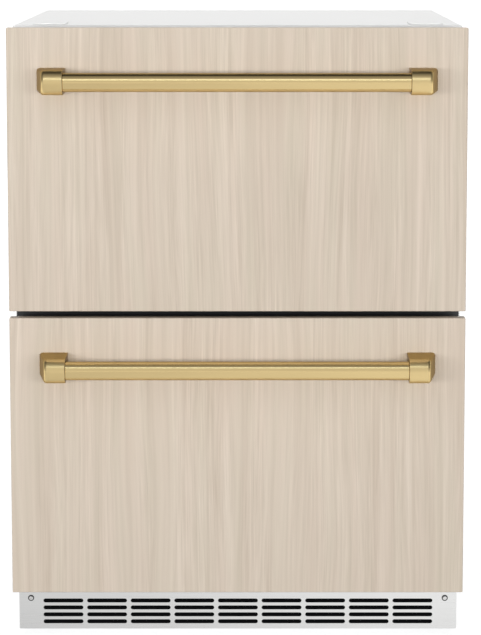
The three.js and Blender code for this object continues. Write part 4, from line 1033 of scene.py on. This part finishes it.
class FRIDGE_OT_doors(Operator):
    """Makes the insulated doors behind the panels and their inner mouldings"""

    bl_idname = "fridge.doors"
    bl_label = "Doors"

    def execute(self, context):
        tubs = context.scene.fridge_tubs
        for level in LEVELS:
            node, body = f"{level}_door", f"{level}_drawer"
            low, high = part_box(node)
            back = high.y - tubs.dike
            shell = self.shell(low, high, back, tubs.door_corner)
            moulding = self.moulding(low, high, back, tubs.dike)
            place(f"{node}_shell", body, "door_skin", shell, [node])
            place(f"{node}_liner", body, "liner", moulding)
        return {"FINISHED"}

    def shell(self, low, high, back, corner):
        """Outside of a door, with a groove where its two halves meet."""
        ease, groove = 1.5 * MM, 0.8 * MM

        def ring(inset, y):
            return upright_ring(low, high, inset, y, corner, 5)

        rings = [ring(ease * (1 - sin), low.y + ease * (1 - cos)) for cos, sin in sweep(4)]
        for inset, before_back in ((0, 14), (groove, 13.5), (groove, 12.5), (0, 12)):
            rings.append(ring(inset, back - before_back * MM))
        rings += [ring(ease * (1 - cos), back - ease * (1 - sin)) for cos, sin in sweep(4)]
        return loft(rings)

    def moulding(self, low, high, back, dike):
        """Raised field inside a door: a soft dike round a shallow dish."""
        margin, corner, inner_corner = 26.5 * MM, 12 * MM, 9 * MM
        crest, slope, dish = 14 * MM, 3 * MM, 2.5 * MM

        def ring(inset, y, radius):
            return upright_ring(low, high, margin + inset, y, radius, 6)

        rings = [ring(0, back - 1 * MM, corner), ring(0, back + 0.2 * MM, corner)]
        for share, rise in soft_steps(6):
            rings.append(ring(dike * share, back + dike * rise, corner))
        rings.append(ring(dike + crest, back + dike, inner_corner))
        for share, fall in soft_steps(4):
            inset = dike + crest + slope * share
            rings.append(ring(inset, back + dike - dish * fall, inner_corner))
        return loft(rings)


# Inset from the rim and height, in millimetres
PAD_PROFILE = ((1, 0), (0, 1), (0, 3.2), (0.6, 4.2), (2.2, 5), (5, 5.6), (7, 6))
# Radius and height, in millimetres
NUT_PROFILE = ((11.2, 5.4), (12.6, 6.4), (12.6, 14.4), (11.2, 15.6))


class FRIDGE_OT_feet(Operator):
    """Makes the four levelling feet"""

    bl_idname = "fridge.feet"
    bl_label = "Levelling feet"

    def execute(self, context):
        for node in [name for name in frame["nodes"] if name.startswith("foot_")]:
            low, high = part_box(node)
            middle = (low + high) / 2
            radius = (high.x - low.x) / 2
            pad = turned([(radius - inset * MM, z * MM) for inset, z in PAD_PROFILE], 48)
            nut = turned([(r * MM, z * MM) for r, z in NUT_PROFILE], 6)
            foot = joined(pad, nut, self.stem(high.z - low.z))
            place(f"{node}_leg", node, "black", moved(foot, middle.x, middle.y, low.z), [node])
        return {"FINISHED"}

    def stem(self, top):
        """Threaded stem from inside the nut to the foot's top."""
        root, crest, end, pitch = 4.4 * MM, 5 * MM, 4.2 * MM, 1.5 * MM
        start, first_turn, bare = 15 * MM, 15.3 * MM, 16 * MM
        profile = [(root, start)]
        for i in range(int((top - bare) / pitch)):
            z = first_turn + i * pitch
            profile += [(root, z), (crest, z + 0.45 * pitch), (crest, z + 0.55 * pitch)]
        return turned(profile + [(end, top)], 24)


class FRIDGE_OT_fasteners(Operator):
    """Makes the screws round the back panel and the rear grille"""

    bl_idname = "fridge.fasteners"
    bl_label = "Rear screws"

    def execute(self, context):
        inset = 10 * MM
        head = holder_of(screw_head(3.4 * MM, 1.6 * MM, 3.6 * MM), "rear_screw")
        for node, screws, sink in (("back_panel", 22, 1.7 * MM), ("rear_grille", 14, 0.1 * MM)):
            low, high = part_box(node)
            fitting = Fitting(
                f"Screws round {node}",
                width=high.x - low.x - 2 * inset,
                height=high.z - low.z - 2 * inset,
                count=screws,
                head=head,
            )
            size, geo = fitting.size, fitting.geo
            path = fitting.rectangle(size("Width"), size("Height"), 0.1 * MM, 1)
            stations = geo("ResampleCurve", {"Curve": path, "Count": size("Count")})
            shape = geo("ObjectInfo", {"Object": size("Head")}, out="Geometry")
            heads = geo("InstanceOnPoints", {"Points": stations, "Instance": shape})
            heads = fitting.move(heads, rotation=(-math.pi / 2, 0, 0))
            mesh = fitting.bake(heads, "galvanised")
            mesh.transform(Matrix.Translation((0, high.y - sink, (low.z + high.z) / 2)))
            place(f"{node}_screws", "cabinet", "galvanised", mesh)
        bpy.data.objects.remove(head)
        return {"FINISHED"}


# Brightness of the surround, by the share of the half turn from the front horizon over the top
SURROUND = [(0.008, 1.0), (0.022, 0.72), (0.25, 0.68), (0.33, 0.36), (0.47, 0.25)]
SURROUND += [(0.52, 0.04), (0.7, 0.04), (0.78, 0.72), (0.93, 1.0)]

# Each light's name, power setting, width and height, place, and the point it faces
LIGHTS = (
    ("Strip", "strip_power", (2.2, 0.11), (0, -1.22, 1.454), (0, -0.31, 0.6)),
    ("Front light", "front_power", (5, 0.4), (-0.3, -3.6, 0.85), (0, 0, 0.55)),
    ("Top light", "top_power", (3, 3), (0, 0.3, 3), (0, 0, 0)),
)


class FRIDGE_OT_studio(Operator):
    """Sets up the floor, the surround, the lights and the camera"""

    bl_idname = "fridge.studio"
    bl_label = "Studio"

    def execute(self, context):
        studio = context.scene.fridge_studio
        self.floor()
        self.card()
        self.surround(studio.sky)
        self.lights(studio)
        self.camera(studio)
        context.scene.view_settings.view_transform = "Standard"
        return {"FINISHED"}

    def sheet(self, name, x, y0, y1, z, material):
        """A level sheet, as far to the left as to the right, that belongs to the studio."""
        mesh = bpy.data.meshes.new(name)
        mesh.from_pydata([(-x, y0, z), (x, y0, z), (x, y1, z), (-x, y1, z)], [], [(0, 1, 2, 3)])
        mesh.materials.append(material)
        sheet = linked(name, mesh)
        return sheet

    def floor(self):
        """White floor that gets brighter away from the object and doesn't light it."""
        finish = Finish("Floor")
        x, y, _ = finish.parts(finish.place)
        reach = finish.math("SQRT", x * x + y * y)
        glow = finish.ramp(reach / 8, [(0.12, 0.72), (0.6, 1.0)])
        floor = self.sheet("Floor", 30, -30, 30, 0, finish.glowing(0.5, 0.9, glow))
        floor.visible_diffuse = False

    def card(self):
        """Grey card on the floor in front, seen only by shiny parts."""
        finish = Finish("Card")
        x, y, _ = finish.parts(finish.place)
        across = finish.ramp(x * 0.5 + 0.5, [(0.36, 0.65), (0.64, 0.87)])
        glow = across * finish.ramp(0 - y, [(0.2, 0.88), (0.42, 1.0)])
        above_floor = 4 * MM
        card = self.sheet("Card", 8, -30, KICK_FRONT, above_floor, finish.glowing(0, 1.0, glow))
        card.visible_camera = card.visible_diffuse = card.visible_shadow = False

    def surround(self, brightness):
        """White walls under a dark ceiling, and dim ground, dimmer far to the sides."""
        world = bpy.data.worlds.new("Studio")
        world.use_nodes = True
        bpy.context.scene.world = world
        graph = Graph(world.node_tree)
        graph.tree.nodes.clear()
        x, y, z = graph.parts(graph.node("ShaderNodeTexCoord", out="Generated"))
        angle = graph.math("ARCTAN2", graph.math("MAXIMUM", z, 0.0), 0 - y) / math.pi
        sideways = graph.ramp(graph.math("ABSOLUTE", x), [(0.7, 1.0), (0.95, 0.4)])
        ground = graph.ramp(z * 0.5 + 0.5, [(0.46, 0.3), (0.5, 1.0)])
        strength = graph.ramp(angle, SURROUND) * sideways * ground * brightness
        sockets = {"Color": (1, 1, 1, 1), "Strength": strength}
        background = graph.node("ShaderNodeBackground", None, sockets)
        graph.node("ShaderNodeOutputWorld", None, {"Surface": background})

    def lights(self, studio):
        """The strip is only seen in reflections, and the other two never are."""
        for name, power, size, location, target in LIGHTS:
            data = bpy.data.lights.new(name, "AREA")
            data.shape = "RECTANGLE"
            data.size, data.size_y = size
            data.energy = getattr(studio, power)
            lamp = linked(name, data)
            lamp.location = location
            aim = Vector(target) - Vector(location)
            lamp.rotation_euler = aim.to_track_quat("-Z", "Y").to_euler()
            lamp.visible_camera = False
            if name == "Strip":
                lamp.visible_diffuse = False
                data.color = (0.7, 0.85, 1.0)
            else:
                lamp.visible_glossy = False

    def camera(self, studio):
        data = bpy.data.cameras.new("Camera")
        for name in ("lens", "shift_x", "shift_y"):
            setattr(data, name, getattr(studio, name))
        data.clip_end = 200
        camera = linked("Camera", data)
        camera.location = studio.camera
        camera.rotation_euler = (math.pi / 2 - studio.tilt, 0, 0)
        bpy.context.scene.camera = camera


STEPS = (
    FRIDGE_OT_finishes,
    FRIDGE_OT_studio,
    FRIDGE_OT_panels,
    FRIDGE_OT_gap,
    FRIDGE_OT_openings,
    FRIDGE_OT_handles,
    FRIDGE_OT_kick_grille,
    FRIDGE_OT_doors,
    FRIDGE_OT_tubs,
    FRIDGE_OT_feet,
    FRIDGE_OT_fasteners,
)
SETTINGS = {
    "fridge_look": FRIDGE_PG_look,
    "fridge_fronts": FRIDGE_PG_fronts,
    "fridge_liners": FRIDGE_PG_liners,
    "fridge_tubs": FRIDGE_PG_tubs,
    "fridge_grille": FRIDGE_PG_grille,
    "fridge_studio": FRIDGE_PG_studio,
}


class FRIDGE_PT_steps(Panel):
    """Lists the refrigerator's sizes and steps"""

    bl_label = "Refrigerator"
    bl_idname = "FRIDGE_PT_steps"
    bl_space_type = "VIEW_3D"
    bl_region_type = "UI"
    bl_category = "Refrigerator"

    def draw(self, context):
        for group in SETTINGS:
            settings = getattr(context.scene, group)
            box = self.layout.box()
            box.label(text=type(settings).__doc__)
            for name in type(settings).__annotations__:
                box.prop(settings, name)
        for step in STEPS:
            self.layout.operator(step.bl_idname)


def register():
    for group, settings in SETTINGS.items():
        bpy.utils.register_class(settings)
        setattr(bpy.types.Scene, group, PointerProperty(type=settings))
    for step in (*STEPS, FRIDGE_PT_steps):
        bpy.utils.register_class(step)


def unregister():
    for step in reversed((*STEPS, FRIDGE_PT_steps)):
        bpy.utils.unregister_class(step)
    for group, settings in reversed(SETTINGS.items()):
        delattr(bpy.types.Scene, group)
        bpy.utils.unregister_class(settings)


def main():
    register()
    for step in STEPS:
        family, name = step.bl_idname.split(".")
        getattr(getattr(bpy.ops, family), name)()


if __name__ == "__main__":
    main()
